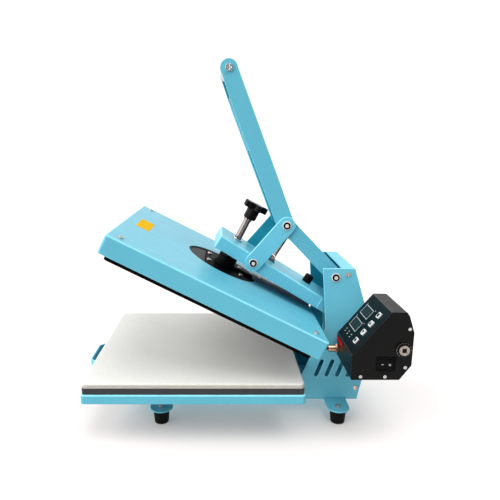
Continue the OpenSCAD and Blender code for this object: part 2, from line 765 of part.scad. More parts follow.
// The heating tube runs to and fro on each side of the casting
element_runs = 6;
element_pitch = 46;
element_margin = 65;
element_tail = 40;
element_gap = 3;
element_half = platen_w / 2 - element_margin;
element_first = -element_pitch * (element_runs - 1) / 2;
module bend(y, x, s) translate([x, y, 0]) rotate(s > 0 ? -90 : 90)
  rotate_extrude(angle = 180) translate([element_pitch / 2, 0]) circle(d = element_d);
module element_tube() {
  for (k = [0 : element_runs - 1])
    translate([-element_half, element_first + k * element_pitch, 0]) rotate([0, 90, 0])
      cylinder(d = element_d, h = 2 * element_half + (k == 0 ? element_tail : 0));
  for (k = [0 : element_runs - 2]) let (s = k % 2 == 0 ? -1 : 1)
    bend(element_first + (k + 0.5) * element_pitch, s * element_half, s);
}
module heating_element() color([0.45, 0.42, 0.4]) arm_open()
  translate([0, 0, element_z + element_d / 2]) difference() {
    element_tube();
    translate([0, 0, -element_d]) linear_extrude(2 * element_d) casting_view(element_gap);
  }
insulation_inset = 5;
insulation_gap = 1;
post_clear = 8;
module insulation_board() color([0.42, 0.37, 0.33]) arm_open()
  translate([0, 0, insulation_z]) linear_extrude(insulation_t) difference() {
    square(platen_w - 2 * insulation_inset, center = true);
    casting_view(insulation_gap);
    for (i = [-1, 1], j = [-1, 1])
      translate([i * head_screw_x, j * head_screw_x]) square(post_d + 2 * post_clear, center = true);
  }
// The casting fills the cut-out but for a segment at its front; extra widens it for the pieces round it
module casting_view(extra) intersection() {
  translate([cut_x, 0]) circle(d = cut_d - 2 * casting_gap + 2 * extra);
  translate([screw_x - casting_front - extra, -cut_d]) square([2 * cut_d, 2 * cut_d]);
}
boss_top = head_top + boss_h;
boss_flare = 6;
socket_depth = 14;
rib_w = 14;
rib_h = 5;
module centre_casting() color(black) arm_open() difference() {
  union() {
    translate([0, 0, heat_top]) linear_extrude(casting_h) casting_view(0);
    translate([screw_x, 0, head_top]) cylinder(d1 = boss_d + 2 * boss_flare, d2 = boss_d, h = boss_h / 2);
    translate([screw_x, 0, head_top + boss_h / 2]) cylinder(d = boss_d, h = boss_h / 2);
    // Rib from the boss to the steady bar
    translate([screw_x, -rib_w / 2, head_top]) cube([bar_front_x - screw_x, rib_w, rib_h]);
  }
  translate([screw_x, 0, boss_top - socket_depth]) cylinder(d = screw_d + 2 * fit, h = socket_depth + over);
  translate([0, 0, heat_top - over]) casting_places() cylinder(d = head_hole_d, h = casting_h + 2 * over);
}
module steady_bar() color([0.45, 0.46, 0.48]) arm_open() translate([0, 0, head_top]) difference() {
  translate([(bar_front_x + bar_rear_x) / 2, 0, 0]) linear_extrude(bar_t)
    rounded_square(bar_rear_x - bar_front_x, bar_w, bar_corner_r);
  translate([0, 0, -over]) bar_screw_places() cylinder(d = head_hole_d, h = bar_t + 2 * over);
}
screw_head_d = 9;
screw_head_h = 2.6;
module head_screw(shank) panhead(screw_head_d, screw_head_h, head_screw_d, shank);
module head_screws() color(chrome) arm_open() translate([0, 0, head_top]) {
  head_screw_places() head_screw(head_t + head_bite);
  casting_places() head_screw(casting_h + casting_bite);
  translate([0, 0, bar_t]) bar_screw_places() head_screw(bar_t + head_t);
}

// Pressure screw and knob, shut
knob_top = pad_top + knob_rise;
knob_foot = knob_top - knob_t - hub_h;
collar_h = 4;
collar_lip = 1.5;
star_web_d = 32;
module pressure_screw() color(chrome) arm_open() translate([screw_x, 0, 0]) {
  translate([0, 0, boss_top - socket_depth]) cylinder(d = screw_d, h = knob_foot - boss_top + socket_depth);
  translate([0, 0, knob_foot - collar_h]) cylinder(d = screw_d + 2 * collar_lip, h = collar_h);
}
module pressure_knob() color(black) arm_open() translate([screw_x, 0, knob_foot]) {
  cylinder(d = hub_d, h = hub_h + knob_t);
  translate([0, 0, hub_h]) linear_extrude(knob_t) {
    circle(d = star_web_d);
    for (k = [0 : knob_lobes - 1]) rotate(k * 360 / knob_lobes)
      bar_view([0, 0], [knob_d / 2 - lobe_d / 2, 0], lobe_d);
  }
}

// Lever

elbow_corner = meet(elbow - up_back * up_n, up_dir, elbow - low_half * low_n, low_dir);
elbow_inner = meet(elbow + up_front * up_n, up_dir, elbow + low_half * low_n, low_dir);
// The upper arm narrows to its grip end from this distance
grip_taper = 60;
// The round ears stand a little proud of the arms' edges
ear_bulge = 0.5;
module lever_view() {
  polygon([
    elbow_corner, grip - up_back * up_n, grip + up_back * up_n,
    along(grip, up_deg, -grip_taper) + up_front * up_n, elbow_inner,
    lever_pivot + low_half * low_n, lever_pivot - low_half * low_n
  ]);
  translate(grip) circle(up_back + ear_bulge);
  translate(lever_pivot) circle(low_half + ear_bulge);
}
web_start = 12;
// The web lies a little behind the front edges of the side flanges
web_set = 0.5;
web_z = up_front - lever_t - web_set;
module lever_frame() color(steel_paint) difference() {
  union() {
    both_sides() side_view(lever_half - lever_t, lever_half) lever_view();
    on_lever() translate([web_start, -lever_half + lever_t / 2, web_z])
      cube([up_len - web_top - web_start, lever_w - lever_t, lever_t]);
  }
  on_lever() translate([-over, -slot_w / 2, web_z - over])
    cube([slot_len + over, slot_w, lever_t + 2 * over]);
  for (p = [lever_pivot, elbow]) pin(p, bolt_d + 2 * fit, -lever_half - over, lever_half + over);
  pin(grip, grip_screw_d + 2 * fit, -lever_half - over, lever_half + over);
}
grip_screw_d = 6;
grip_head_d = 13;
grip_head_h = 4;
grip_screw_len = 10;
grip_plug_t = 4;
grip_half = lever_half - lever_t;
module grip_tube() color(chrome) difference() {
  pin(grip, grip_d, -grip_half, grip_half);
  pin(grip, grip_d - 2 * grip_wall, -grip_half + grip_plug_t, grip_half - grip_plug_t);
  pin(grip, grip_screw_d + 2 * fit, -lever_half, lever_half);
}
module grip_screws() color(chrome) both_sides()
  panhead_near(grip, -lever_half, grip_head_d, grip_head_h, grip_screw_d, lever_t + grip_screw_len);
elbow_play = 0.3;
// Each elbow bolt has a low head inside the lever, and the return spring passes between the two heads
elbow_head_d = 18;
elbow_head_h = 5;
module elbow_bolt() color(chrome) both_sides() {
  pin(elbow, elbow_head_d, grip_half - elbow_head_h, grip_half);
  pin(elbow, bolt_d, grip_half - elbow_head_h, link_out + elbow_play);
  bolt_end(elbow, link_out + elbow_play);
}
// The upper spring pin is welded between the lower arm's two sides
module spring_pin() color(zinc) pin(spring_head, spring_pin_d, -grip_half, grip_half);

module link_plates() color(steel_paint) both_sides() side_view(link_in, link_out) difference() {
  bar_view(link_foot, elbow, link_w);
  for (p = [elbow, link_foot]) translate(p) circle(d = bolt_d + 2 * fit);
}
module link_bolts() color(chrome) both_sides() {
  pin(link_foot, bolt_d, link_in, link_out);
  bolt_end(link_foot, link_out);
}

// Return spring: one wire from the lower hook, through the curls, to the upper hook.
// The local axis runs from the lower pin to the upper pin and the hooks lie square to the pins.
coil_r = (coil_d - wire_d) / 2;
spring_len = norm(spring_head - spring_foot);
spring_deg = atan2(spring_head[0] - spring_foot[0], spring_head[1] - spring_foot[1]);
hook_clear = 0.6;
hook_neck = 3;
hook_from = -140;
hook_turn = 230;
hook_r = spring_pin_d / 2 + wire_d / 2 + hook_clear;
hook_rise = hook_r + hook_neck;
curl_run = spring_len - 2 * hook_rise;
rings_per_curl = 8;
hook_rings = 8;
function hook(a) = [hook_r * sin(a), 0, -hook_r * cos(a)];
lower_hook = [for (k = [0 : hook_rings]) hook(hook_from + hook_turn * k / hook_rings)];
curl_path = [
  for (k = [0 : curls * rings_per_curl])
    let (a = 360 * k / rings_per_curl)
      [coil_r * cos(a), coil_r * sin(a), hook_rise + curl_run * k / (curls * rings_per_curl)]
];
upper_hook = [for (k = [hook_rings : -1 : 0]) let (h = lower_hook[k]) [h[0], h[1], spring_len - h[2]]];
spring_path = concat(lower_hook, curl_path, upper_hook);

function unit(v) = v / norm(v);
function tangent(path, i) = unit(path[min(i + 1, len(path) - 1)] - path[max(i - 1, 0)]);
// Carries the ring's first axis along the path so that the tube does not twist
function carry(v, t) = unit(v - (v * t) * t);
function frames(path, i, v, done = []) = i == len(path) ? done :
  let (f = carry(v, tangent(path, i))) frames(path, i + 1, f, concat(done, [f]));
module tube(path, d, sides, start) {
  first = frames(path, 0, start);
  n = len(path);
  points = [
    for (i = [0 : n - 1]) let (t = tangent(path, i), b = cross(t, first[i]))
      for (k = [0 : sides - 1]) let (a = 360 * k / sides)
        path[i] + d / 2 * (cos(a) * first[i] + sin(a) * b)
  ];
  walls = [
    for (i = [0 : n - 2], k = [0 : sides - 1])
      let (a = i * sides + k, b = i * sides + (k + 1) % sides)
        each [[a, a + sides, b + sides], [a, b + sides, b]]
  ];
  ends = [
    for (k = [1 : sides - 2]) let (e = (n - 1) * sides)
      each [[0, k, k + 1], [e, e + k + 1, e + k]]
  ];
  polyhedron(points, concat(walls, ends));
}
// Least clear distance between parts of the wire more than half a curl apart
skip = rings_per_curl / 2 + 1;
least_gap = min([
  for (i = [0 : len(spring_path) - skip - 1], j = [i + skip : len(spring_path) - 1])
    norm(spring_path[i] - spring_path[j])
]) - wire_d;
echo(str("return_spring least gap to itself: ", least_gap, " mm"));
wire_sides = 6;
wire_start = [0, 1, 0.2];
module return_spring() color([0.3, 0.27, 0.25])
  translate([spring_foot[0], 0, spring_foot[1]]) rotate([0, spring_deg, 0])
    tube(spring_path, wire_d, wire_sides, wire_start);

// Control box

box_z = pad_top + box_rise;
box_near = side_out + box_y;
// Small slopes of the box's faces
box_face_lean = 0.5;
box_rear_lean = 1;
box_top_fall = 0.5;
box_slope_x = 9;
box_slope_h = 7.5;
box_outline = [
  [0, 0], [box_x - box_cut_x, 0], [box_x - box_rear_lean, box_cut_h], [box_x, box_back_h],
  [box_x - box_slope_x, box_h - box_slope_h], [panel_x + box_top_x, box_h - box_top_fall],
  [panel_x, box_h], [box_face_lean, box_face_h]
];
panel_low = [box_face_lean, box_face_h];
panel_high = [panel_x, box_h];
panel_len = norm(panel_high - panel_low);
panel_deg = atan2(panel_high[1] - panel_low[1], panel_high[0] - panel_low[0]);
module box_place() translate([box_front_x, box_z]) children();
// Local x runs up the panel, y is the press's y and z points out of the panel
module on_panel() translate([box_front_x + panel_low[0], 0, box_z + panel_low[1]])
  rotate([0, -panel_deg, 0]) children();
// Button row and display windows, across from the side plate and up the panel
button_off = 85;
window_off = 38.5;
button_first = 20.7;
window_first = 38;
button_y = -side_out - button_off;
window_mid_y = -side_out - window_off;
function box_point(x, h) = [box_front_x + x, box_z + h];
// Screws of the side cover: two along the floor, one by the corner cut and one by the rear slope
floor_screw_xs = [15.5, 56.5];
floor_screw_h = 6.5;
cut_screw_in = 12;
cut_screw_drop = 3;
slope_screw_in = 8.5;
slope_screw_rise = 7;
cover_screws = [
  for (x = floor_screw_xs) box_point(x, floor_screw_h),
  box_point(box_x - cut_screw_in, box_cut_h - cut_screw_drop),
  box_point(box_x - slope_screw_in, box_back_h + slope_screw_rise)
];
cover_screw_d = 3.5;
cover_hole_d = cover_screw_d + 2 * fit;
cover_screw_len = 12;
cover_head_d = 6;
cover_head_h = 2;
boss_w = 8;
gland_in = 14;
gland_rise = 17;
gland_reach = 19.5;
gland_nut_t = 6.5;
gland_step = 1.5;
gland_tail = 5;
gland_y = -side_out - gland_in;
gland_z = box_z + gland_rise;
gland_thread_d = gland_d - 2 * gland_step;
switch_back = 58;
switch_rise = 28;
socket_back = 85;
socket_rise = 54.5;
switch_mid = box_point(switch_back, switch_rise);
socket_mid = box_point(socket_back, socket_rise);
switch_lip = 2;
socket_rim = 2.5;
socket_body_d = socket_d - 2 * socket_rim;
module box_shell() color(black) difference() {
  union() {
    difference() {
      side_view(-box_near + box_t, -side_out) box_place() polygon(box_outline);
      side_view(-box_near, -side_out - box_t) box_place() polygon(inset(box_outline, box_t));
    }
    for (p = cover_screws) intersection() {
      pin(p, boss_w, -box_near + box_t, -side_out - box_t);
      side_view(-box_near, -side_out) box_place() polygon(box_outline);
    }
  }
  for (p = cover_screws) pin(p, cover_hole_d, -box_near, -box_near + cover_screw_len + tip_gap);
  button_holes();
  translate([box_front_x - over, gland_y, gland_z]) rotate([0, 90, 0])
    cylinder(d = gland_thread_d + 2 * fit, h = box_t + 3 * over);
}
button_hole_w = button_w + 2 * button_gap;
button_hole_deep = 12;
module button_holes() on_panel() for (k = [0 : 3])
  translate([button_first + k * button_pitch, button_y, 0])
    cube([button_hole_w, button_hole_w, button_hole_deep], center = true);
module box_side_cover() color(black) difference() {
  side_view(-box_near, -box_near + box_t) box_place() polygon(box_outline);
  for (p = cover_screws) pin(p, cover_hole_d, -box_near - over, -box_near + box_t + over);
  translate([switch_mid[0], -box_near, switch_mid[1]])
    cube([switch_x - 2 * switch_lip, 4 * box_t, switch_z - 2 * switch_lip], center = true);
  pin(socket_mid, socket_body_d + 2 * fit, -box_near - over, -box_near + box_t + over);
}
module display_panel() color([0.13, 0.16, 0.19]) difference() {
  on_panel() translate([panel_margin, -box_near + panel_margin, 0])
    cube([panel_len - 2 * panel_margin, box_y - 2 * panel_margin, panel_t]);
  button_holes();
}
window_t = 0.8;
module display_windows() color([0.05, 0.05, 0.06]) on_panel() for (k = [0, 1])
  translate([window_first + k * window_pitch, window_mid_y, panel_t + window_t / 2])
    cube([window_x, window_y, window_t], center = true);
light_d = 2.4;
light_h = 0.6;
light_first = 14.7;
light_pitch = 16.3;
light_row = 5.4;
module indicator_lights() color([0.75, 0.78, 0.75]) on_panel() for (i = [0, 1], k = [-1 : 1])
  translate([light_first + i * light_row, window_mid_y + k * light_pitch, panel_t])
    cylinder(d = light_d, h = light_h);
board_drop = 12;
board_t = 1.6;
board_low = 12;
board_near = 14;
board_short = 32;
board_narrow = 30;
board_size = [panel_len - board_short, box_y - board_narrow];
board_post_d = 5;
board_post_in = 3;
board_post_xs = [board_post_in, board_size[0] - board_post_in];
board_post_ys = [board_post_in, board_size[1] - board_post_in];
module circuit_board() color([0.1, 0.35, 0.2]) on_panel()
  translate([board_low, -box_near + board_near, -board_drop - board_t]) {
    cube([board_size[0], board_size[1], board_t]);
    for (x = board_post_xs, y = board_post_ys)
      translate([x, y, board_t / 2]) cylinder(d = board_post_d, h = board_drop + board_t / 2 - box_t);
  }
relay = [40, 24, 30];
relay_back = 44;
relay_rise = 45;
relay_base_t = 3;
relay_rim = 4;
module power_relay() color([0.2, 0.2, 0.22])
  translate([box_front_x + relay_back, -side_out - box_t, box_z + relay_rise]) {
    translate([0, -relay[1], 0]) cube(relay);
    translate([-relay_rim, -relay_base_t, -relay_rim])
      cube([relay[0] + 2 * relay_rim, relay_base_t, relay[2] + 2 * relay_rim]);
  }
bezel_t = 1.5;
bezel_wall = 1.4;
bezel_deep = 18;
pocket_deep = 14;
bezel_body = [switch_x - 2 * switch_lip - 2 * fit, switch_z - 2 * switch_lip - 2 * fit];
pocket = [bezel_body[0] - 2 * bezel_wall, bezel_body[1] - 2 * bezel_wall];
module switch_place() translate([switch_mid[0], -box_near, switch_mid[1]]) children();
// A block from the bezel's face to a depth in the box
module switch_block(size, deep) translate([0, (deep - bezel_t) / 2, 0])
  cube([size[0], deep + bezel_t, size[1]], center = true);
module switch_bezel() color(black) switch_place() difference() {
  union() {
    switch_block([switch_x, switch_z], 0);
    switch_block(bezel_body, bezel_deep);
  }
  translate([0, -over, 0]) switch_block(pocket, pocket_deep);
}
rocker_end_gap = 1.1;
rocker_side_gap = 0.4;
rocker_axis = 4;
rocker_half = pocket[0] / 2 - rocker_end_gap;
rocker_z = pocket[1] - 2 * rocker_side_gap;
// Heights of the rocker's ends, middle, shoulders and keel over its axis, and half the keel's length
rocker_end_h = 6.5;
rocker_mid_h = 5;
rocker_shoulder_h = 1;
rocker_keel_h = -4.5;
rocker_keel = 5;
module switch_rocker() color([0.08, 0.08, 0.08]) switch_place()
  translate([0, rocker_axis, -rocker_z / 2]) rotate(-rocker_deg) linear_extrude(rocker_z) polygon([
    [-rocker_half, -rocker_end_h], [0, -rocker_mid_h], [rocker_half, -rocker_end_h],
    [rocker_half, -rocker_shoulder_h], [rocker_keel, -rocker_keel_h], [-rocker_keel, -rocker_keel_h],
    [-rocker_half, -rocker_shoulder_h]
  ]);
socket_slot = 7;
socket_floor = 0.5;
socket_flange_t = 3;
socket_nose_h = 3;
socket_nose_in = 3.5;
socket_deep = 16;
module power_socket() color(chrome)
  translate([socket_mid[0], -box_near, socket_mid[1]]) rotate([90, 0, 0]) difference() {
    union() {
      cylinder(d = socket_d, h = socket_flange_t);
      translate([0, 0, socket_flange_t]) cylinder(d = socket_d - 2 * socket_nose_in, h = socket_nose_h);
      translate([0, 0, -socket_deep]) cylinder(d = socket_body_d, h = socket_deep);
    }
    translate([-socket_slot / 2, -socket_slot / 2, socket_floor])
      cube([socket_slot, socket_slot, socket_flange_t + socket_nose_h]);
  }
module box_screws() color(chrome) for (p = cover_screws)
  panhead_near(p, -box_near, cover_head_d, cover_head_h, cover_screw_d, cover_screw_len);
module box_gland() color([0.72, 0.55, 0.42])
  translate([box_front_x, gland_y, gland_z]) rotate([0, -90, 0]) difference() {
    union() {
      cylinder(d = gland_nut_d, h = gland_nut_t, $fn = 6);
      cylinder(d = gland_d, h = gland_reach);
      translate([0, 0, -box_t - gland_tail]) cylinder(d = gland_thread_d, h = box_t + gland_tail + over);
    }
    translate([0, 0, -box_t - gland_tail - over])
      cylinder(d = lead_d + 2 * fit, h = gland_reach + box_t + gland_tail + 2 * over);
  }

// Heater lead between the gland and a grommet in the head's rear wall
grommet_y = -130;
grommet_rise = 12;
grommet_d = 10;
grommet_lip = 2;
grommet_flange = 3;
grommet_back = 2;
grommet_z = cover_z + grommet_rise;
grommet_rim_d = grommet_d + 2 * grommet_lip;
grommet_shut = [head_w / 2 + grommet_flange, grommet_z];
module head_grommet() color(rubber) arm_open()
  translate([head_w / 2 - head_t, grommet_y, grommet_z]) rotate([0, 90, 0]) difference() {
    union() {
      translate([0, 0, head_t]) cylinder(d = grommet_rim_d, h = grommet_flange);
      cylinder(d = grommet_d - 2 * fit, h = head_t);
      translate([0, 0, -grommet_back]) cylinder(d = grommet_rim_d, h = grommet_back);
    }
    translate([0, 0, -grommet_back - over])
      cylinder(d = lead_d + 2 * fit, h = grommet_back + head_t + grommet_flange + 2 * over);
  }
lead_in = 4;
lead_slack = 34;
lead_rings = 16;
lead_sides = 10;
grommet_at = tilt(grommet_shut, arm_pivot, open_deg);
lead_out = [cos(open_deg), 0, -sin(open_deg)];
lead_a = [box_front_x - gland_reach, gland_y, gland_z];
lead_b = [grommet_at[0], grommet_y, grommet_at[1]];
lead_a_handle = lead_a - [lead_slack, 0, 0];
lead_b_handle = lead_b + lead_slack * lead_out;
function lead_point(t) = pow(1 - t, 3) * lead_a + 3 * t * pow(1 - t, 2) * lead_a_handle
  + 3 * t * t * (1 - t) * lead_b_handle + pow(t, 3) * lead_b;
lead_path = concat(
  [lead_a + [lead_in, 0, 0]], [for (k = [0 : lead_rings]) lead_point(k / lead_rings)],
  [lead_b - lead_in * lead_out]);
module heater_lead() color(rubber) tube(lead_path, lead_d, lead_sides, [0, 0, 1]);

button_flange = 1.2;
button_lip = 1.25;
button_seat = 0.3;
button_r = 2;
module button(k) color([0.82, 0.83, 0.84]) on_panel()
  translate([button_first + (k - 1) * button_pitch, button_y, -box_t - button_seat]) {
    linear_extrude(box_t + button_seat + panel_t + button_out) rounded_square(button_w, button_w, button_r);
    translate([0, 0, -button_flange]) linear_extrude(button_flange)
      square(button_hole_w + 2 * button_lip, center = true);
  }
module button_1() button(1);
module button_2() button(2);
module button_3() button(3);
module button_4() button(4);

// Puts the origin on the floor, midway between the handle and the rear of the control box
module place() translate([-x_mid, 0, 0]) children();

place() near_side_plate();
place() far_side_plate();
place() base_plate();
place() rear_cover();
place() rubber_feet();
place() frame_screws();
place() lever_pivot_bolt();
place() lever_spacers();
place() arm_pivot_shaft();
place() fixed_rails();
place() box_shell();
place() box_side_cover();
place() display_panel();
place() display_windows();
place() indicator_lights();
place() circuit_board();
place() power_relay();
place() switch_bezel();
place() power_socket();
place() box_screws();
place() box_gland();
place() heater_lead();
place() tray();
place() lower_plate();
place() silicone_pad();
place() drawer_handle();
place() drawer_hangers();
place() drawer_rails();
place() middle_rails();
place() arm_beam();
place() arm_cheeks();
place() arm_pivot_tube();
place() link_pin();
place() stop_bumper();
place() screw_nut();
place() spring_post();
place() head_cover();
place() heat_plate();
place() heating_element();
place() insulation_board();
place() centre_casting();
place() steady_bar();
place() head_screws();
place() head_grommet();
place() pressure_screw();
place() pressure_knob();
place() lever_frame();
place() grip_tube();
place() grip_screws();
place() elbow_bolt();
place() spring_pin();
place() link_plates();
place() link_bolts();
place() return_spring();
place() button_1();
place() button_2();
place() button_3();
place() button_4();
place() switch_rocker();
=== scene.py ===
"""Looks of a slide-out heat press with a turquoise frame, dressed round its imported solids."""

import json
import math

import bmesh
import bpy
from mathutils import Matrix, Vector
from mathutils.bvhtree import BVHTree

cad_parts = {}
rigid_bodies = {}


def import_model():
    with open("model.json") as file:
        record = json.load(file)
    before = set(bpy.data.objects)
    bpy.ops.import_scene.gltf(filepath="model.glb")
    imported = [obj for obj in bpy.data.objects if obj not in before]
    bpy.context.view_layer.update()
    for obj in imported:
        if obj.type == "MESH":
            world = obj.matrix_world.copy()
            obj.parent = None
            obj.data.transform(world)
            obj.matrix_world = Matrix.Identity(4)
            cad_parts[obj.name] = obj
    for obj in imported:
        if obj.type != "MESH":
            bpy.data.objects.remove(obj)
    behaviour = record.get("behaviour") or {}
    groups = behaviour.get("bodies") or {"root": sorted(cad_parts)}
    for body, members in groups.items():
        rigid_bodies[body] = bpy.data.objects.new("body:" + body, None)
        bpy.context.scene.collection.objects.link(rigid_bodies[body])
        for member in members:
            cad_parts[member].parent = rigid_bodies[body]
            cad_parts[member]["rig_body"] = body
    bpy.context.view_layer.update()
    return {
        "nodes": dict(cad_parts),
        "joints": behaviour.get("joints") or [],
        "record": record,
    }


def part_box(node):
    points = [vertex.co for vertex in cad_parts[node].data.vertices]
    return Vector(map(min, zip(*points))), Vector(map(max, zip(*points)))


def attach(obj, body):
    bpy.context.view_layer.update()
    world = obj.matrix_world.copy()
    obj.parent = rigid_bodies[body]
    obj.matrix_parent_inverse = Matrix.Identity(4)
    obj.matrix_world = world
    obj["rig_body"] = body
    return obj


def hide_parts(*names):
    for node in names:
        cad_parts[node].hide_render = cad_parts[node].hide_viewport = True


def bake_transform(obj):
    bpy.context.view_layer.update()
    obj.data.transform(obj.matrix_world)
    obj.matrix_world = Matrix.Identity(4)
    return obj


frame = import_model()

MM = 0.001
# Slack in comparing places
NEAR = 0.05 * MM
IDENTITY = Matrix.Identity(4)
JOINTS = {joint["name"]: joint for joint in frame["joints"]}
SLOT_OF = {row["node"]: row["material_slot"] for row in frame["record"]["subparts"]}
BODY_OF = {node: piece["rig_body"] for node, piece in frame["nodes"].items()}


# Camera, matched to the photograph

PHOTO_PX = 500
FOCAL_PX = 512
# Column of the photograph that the camera faces
FACED_COLUMN_PX = 223
CAMERA_AT = (-0.027, -0.993, 0.5057)
CAMERA_DOWN_DEG = 11.4
SENSOR_MM = 36


def make_camera():
    data = bpy.data.cameras.new("camera")
    data.sensor_width = SENSOR_MM
    data.lens = SENSOR_MM * FOCAL_PX / PHOTO_PX
    data.shift_x = (PHOTO_PX / 2 - FACED_COLUMN_PX) / PHOTO_PX
    camera = bpy.data.objects.new("camera", data)
    camera.location = CAMERA_AT
    camera.rotation_euler = (math.radians(90 - CAMERA_DOWN_DEG), 0, 0)
    bpy.context.scene.collection.objects.link(camera)
    bpy.context.scene.camera = camera


make_camera()


# Frames of the tilted parts

def axes_frame(origin, x_axis, y_axis, z_axis):
    """The frame with this origin and these axes."""
    return Matrix.Translation(origin) @ Matrix((x_axis, y_axis, z_axis)).transposed().to_4x4()


def upright_frame(origin, up):
    """A frame whose z axis is up and whose y axis is the press's own."""
    z_axis = Vector(up).normalized()
    y_axis = Vector((0, 1, 0))
    return axes_frame(origin, y_axis.cross(z_axis), y_axis, z_axis)


def box_in(place, node):
    """Lowest and highest corner of a node along a frame's own axes."""
    back = place.inverted()
    points = [back @ vertex.co for vertex in frame["nodes"][node].data.vertices]
    return Vector(map(min, *points)), Vector(map(max, *points))


ARM_PIVOT = Vector(JOINTS["arm_swing"]["pos_m"])
# Places on the head are given as they are with the press shut
HEAD = upright_frame(ARM_PIVOT, JOINTS["head_travel"]["axis"]) @ Matrix.Translation(-ARM_PIVOT)
BEAM_RAKE_DEG = 5
BEAM = HEAD @ Matrix.Rotation(math.radians(BEAM_RAKE_DEG), 4, "Y")
PANEL_OUT = -Vector(JOINTS["press_1"]["axis"])
PANEL = axes_frame((0, 0, 0), (PANEL_OUT.z, 0, -PANEL_OUT.x), (0, 1, 0), PANEL_OUT)
# The box's near face, drawn with x to the rear, y up and z towards the viewer
NEAR_FACE = axes_frame((0, 0, 0), (1, 0, 0), (0, 0, 1), (0, -1, 0))
# The box's front face, drawn with x towards the near side, y up and z to the front
FRONT_FACE = axes_frame((0, 0, 0), (0, -1, 0), (0, 0, 1), (-1, 0, 0))


# Finishes

# Most of a noise's values lie between these
NOISE_LOW = 0.3
NOISE_HIGH = 0.7
# Octaves of the noise behind each effect
TONE_DETAIL = 2.0
FLECK_DETAIL = 1.0
GLOSS_DETAIL = 4.0
GRAIN_DETAIL = 3.0
# Patches of gloss across a patch of tone
GLOSS_PATCHES = 3
# Colour sockets of a Mix node
MIX_FIRST = 6
MIX_SECOND = 7
MIX_RESULT = 2


def linear(red, green, blue):
    """A colour given in screen values from 0 to 255, as the shader takes it."""
    def channel(value):
        share = value / 255
        return share / 12.92 if share <= 0.04045 else ((share + 0.055) / 1.055) ** 2.4
    return (channel(red), channel(green), channel(blue), 1)


def scaled(color, share):
    return tuple(min(1, part * share) for part in color[:3]) + (1,)


def noise(tree, coords, size, detail):
    node = tree.nodes.new("ShaderNodeTexNoise")
    node.inputs["Scale"].default_value = 1 / size
    node.inputs["Detail"].default_value = detail
    tree.links.new(coords, node.inputs["Vector"])
    return node.outputs["Fac"]


def spread(tree, value, low, high):
    """Stretches a noise's middle over a range."""
    node = tree.nodes.new("ShaderNodeMapRange")
    node.inputs["From Min"].default_value = NOISE_LOW
    node.inputs["From Max"].default_value = NOISE_HIGH
    node.inputs["To Min"].default_value = low
    node.inputs["To Max"].default_value = high
    tree.links.new(value, node.inputs["Value"])
    return node.outputs["Result"]


def blend_colors(tree, share, first, second):
    """Mixes two colours, each of them fixed or an output, by a share."""
    node = tree.nodes.new("ShaderNodeMix")
    node.data_type = "RGBA"
    tree.links.new(share, node.inputs["Factor"])
    for index, color in ((MIX_FIRST, first), (MIX_SECOND, second)):
        if isinstance(color, tuple):
            node.inputs[index].default_value = color
        else:
            tree.links.new(color, node.inputs[index])
    return node.outputs[MIX_RESULT]


def finish(name, color, roughness, metallic=0.0, tone=0.05, patch=60, rough_span=0.05,
           grain=1.2, relief=0.05, stretch=(1, 1, 1), flecks=None, **sockets):
    """A procedural finish: patchy tone and gloss, and a fine grain in relief.

    Colours are screen values, and lengths are in millimetres. stretch draws the grain out, as
    brushing does. flecks adds specks and gives their colour, size and share."""
    material = bpy.data.materials.new(name)
    material.use_nodes = True
    tree = material.node_tree
    shader = tree.nodes["Principled BSDF"]
    shader.inputs["Metallic"].default_value = metallic
    for socket, value in sockets.items():
        title = socket.replace("_", " ").title().replace("Ior", "IOR")
        shader.inputs[title].default_value = value
    coords = tree.nodes.new("ShaderNodeTexCoord").outputs["Object"]
    mapping = tree.nodes.new("ShaderNodeMapping")
    mapping.inputs["Scale"].default_value = stretch
    tree.links.new(coords, mapping.inputs["Vector"])
    drawn = mapping.outputs["Vector"]
    base = linear(*color)
    patches = spread(tree, noise(tree, coords, patch * MM, TONE_DETAIL), 0, 1)
    tint = blend_colors(tree, patches, scaled(base, 1 - tone), scaled(base, 1 + tone))
    if flecks:
        speck_color, speck_size, speck_share = flecks
        speck_noise = noise(tree, coords, speck_size * MM, FLECK_DETAIL)
        specks = spread(tree, speck_noise, speck_share - 1, 1)
        clamp = tree.nodes.new("ShaderNodeClamp")
        tree.links.new(specks, clamp.inputs["Value"])
        tint = blend_colors(tree, clamp.outputs["Result"], tint, linear(*speck_color))
    tree.links.new(tint, shader.inputs["Base Color"])
    gloss = spread(tree, noise(tree, drawn, patch * MM / GLOSS_PATCHES, GLOSS_DETAIL),
                   roughness - rough_span, roughness + rough_span)
    tree.links.new(gloss, shader.inputs["Roughness"])
    bump = tree.nodes.new("ShaderNodeBump")
    bump.inputs["Strength"].default_value = relief
    bump.inputs["Distance"].default_value = grain * MM
    tree.links.new(noise(tree, drawn, grain * MM, GRAIN_DETAIL), bump.inputs["Height"])
    tree.links.new(bump.outputs["Normal"], shader.inputs["Normal"])
    return material


def powder_coat(name, color, roughness, **settings):
    """A smooth painted coat."""
    return finish(name, color, roughness, grain=0.7, relief=0.012, **settings)


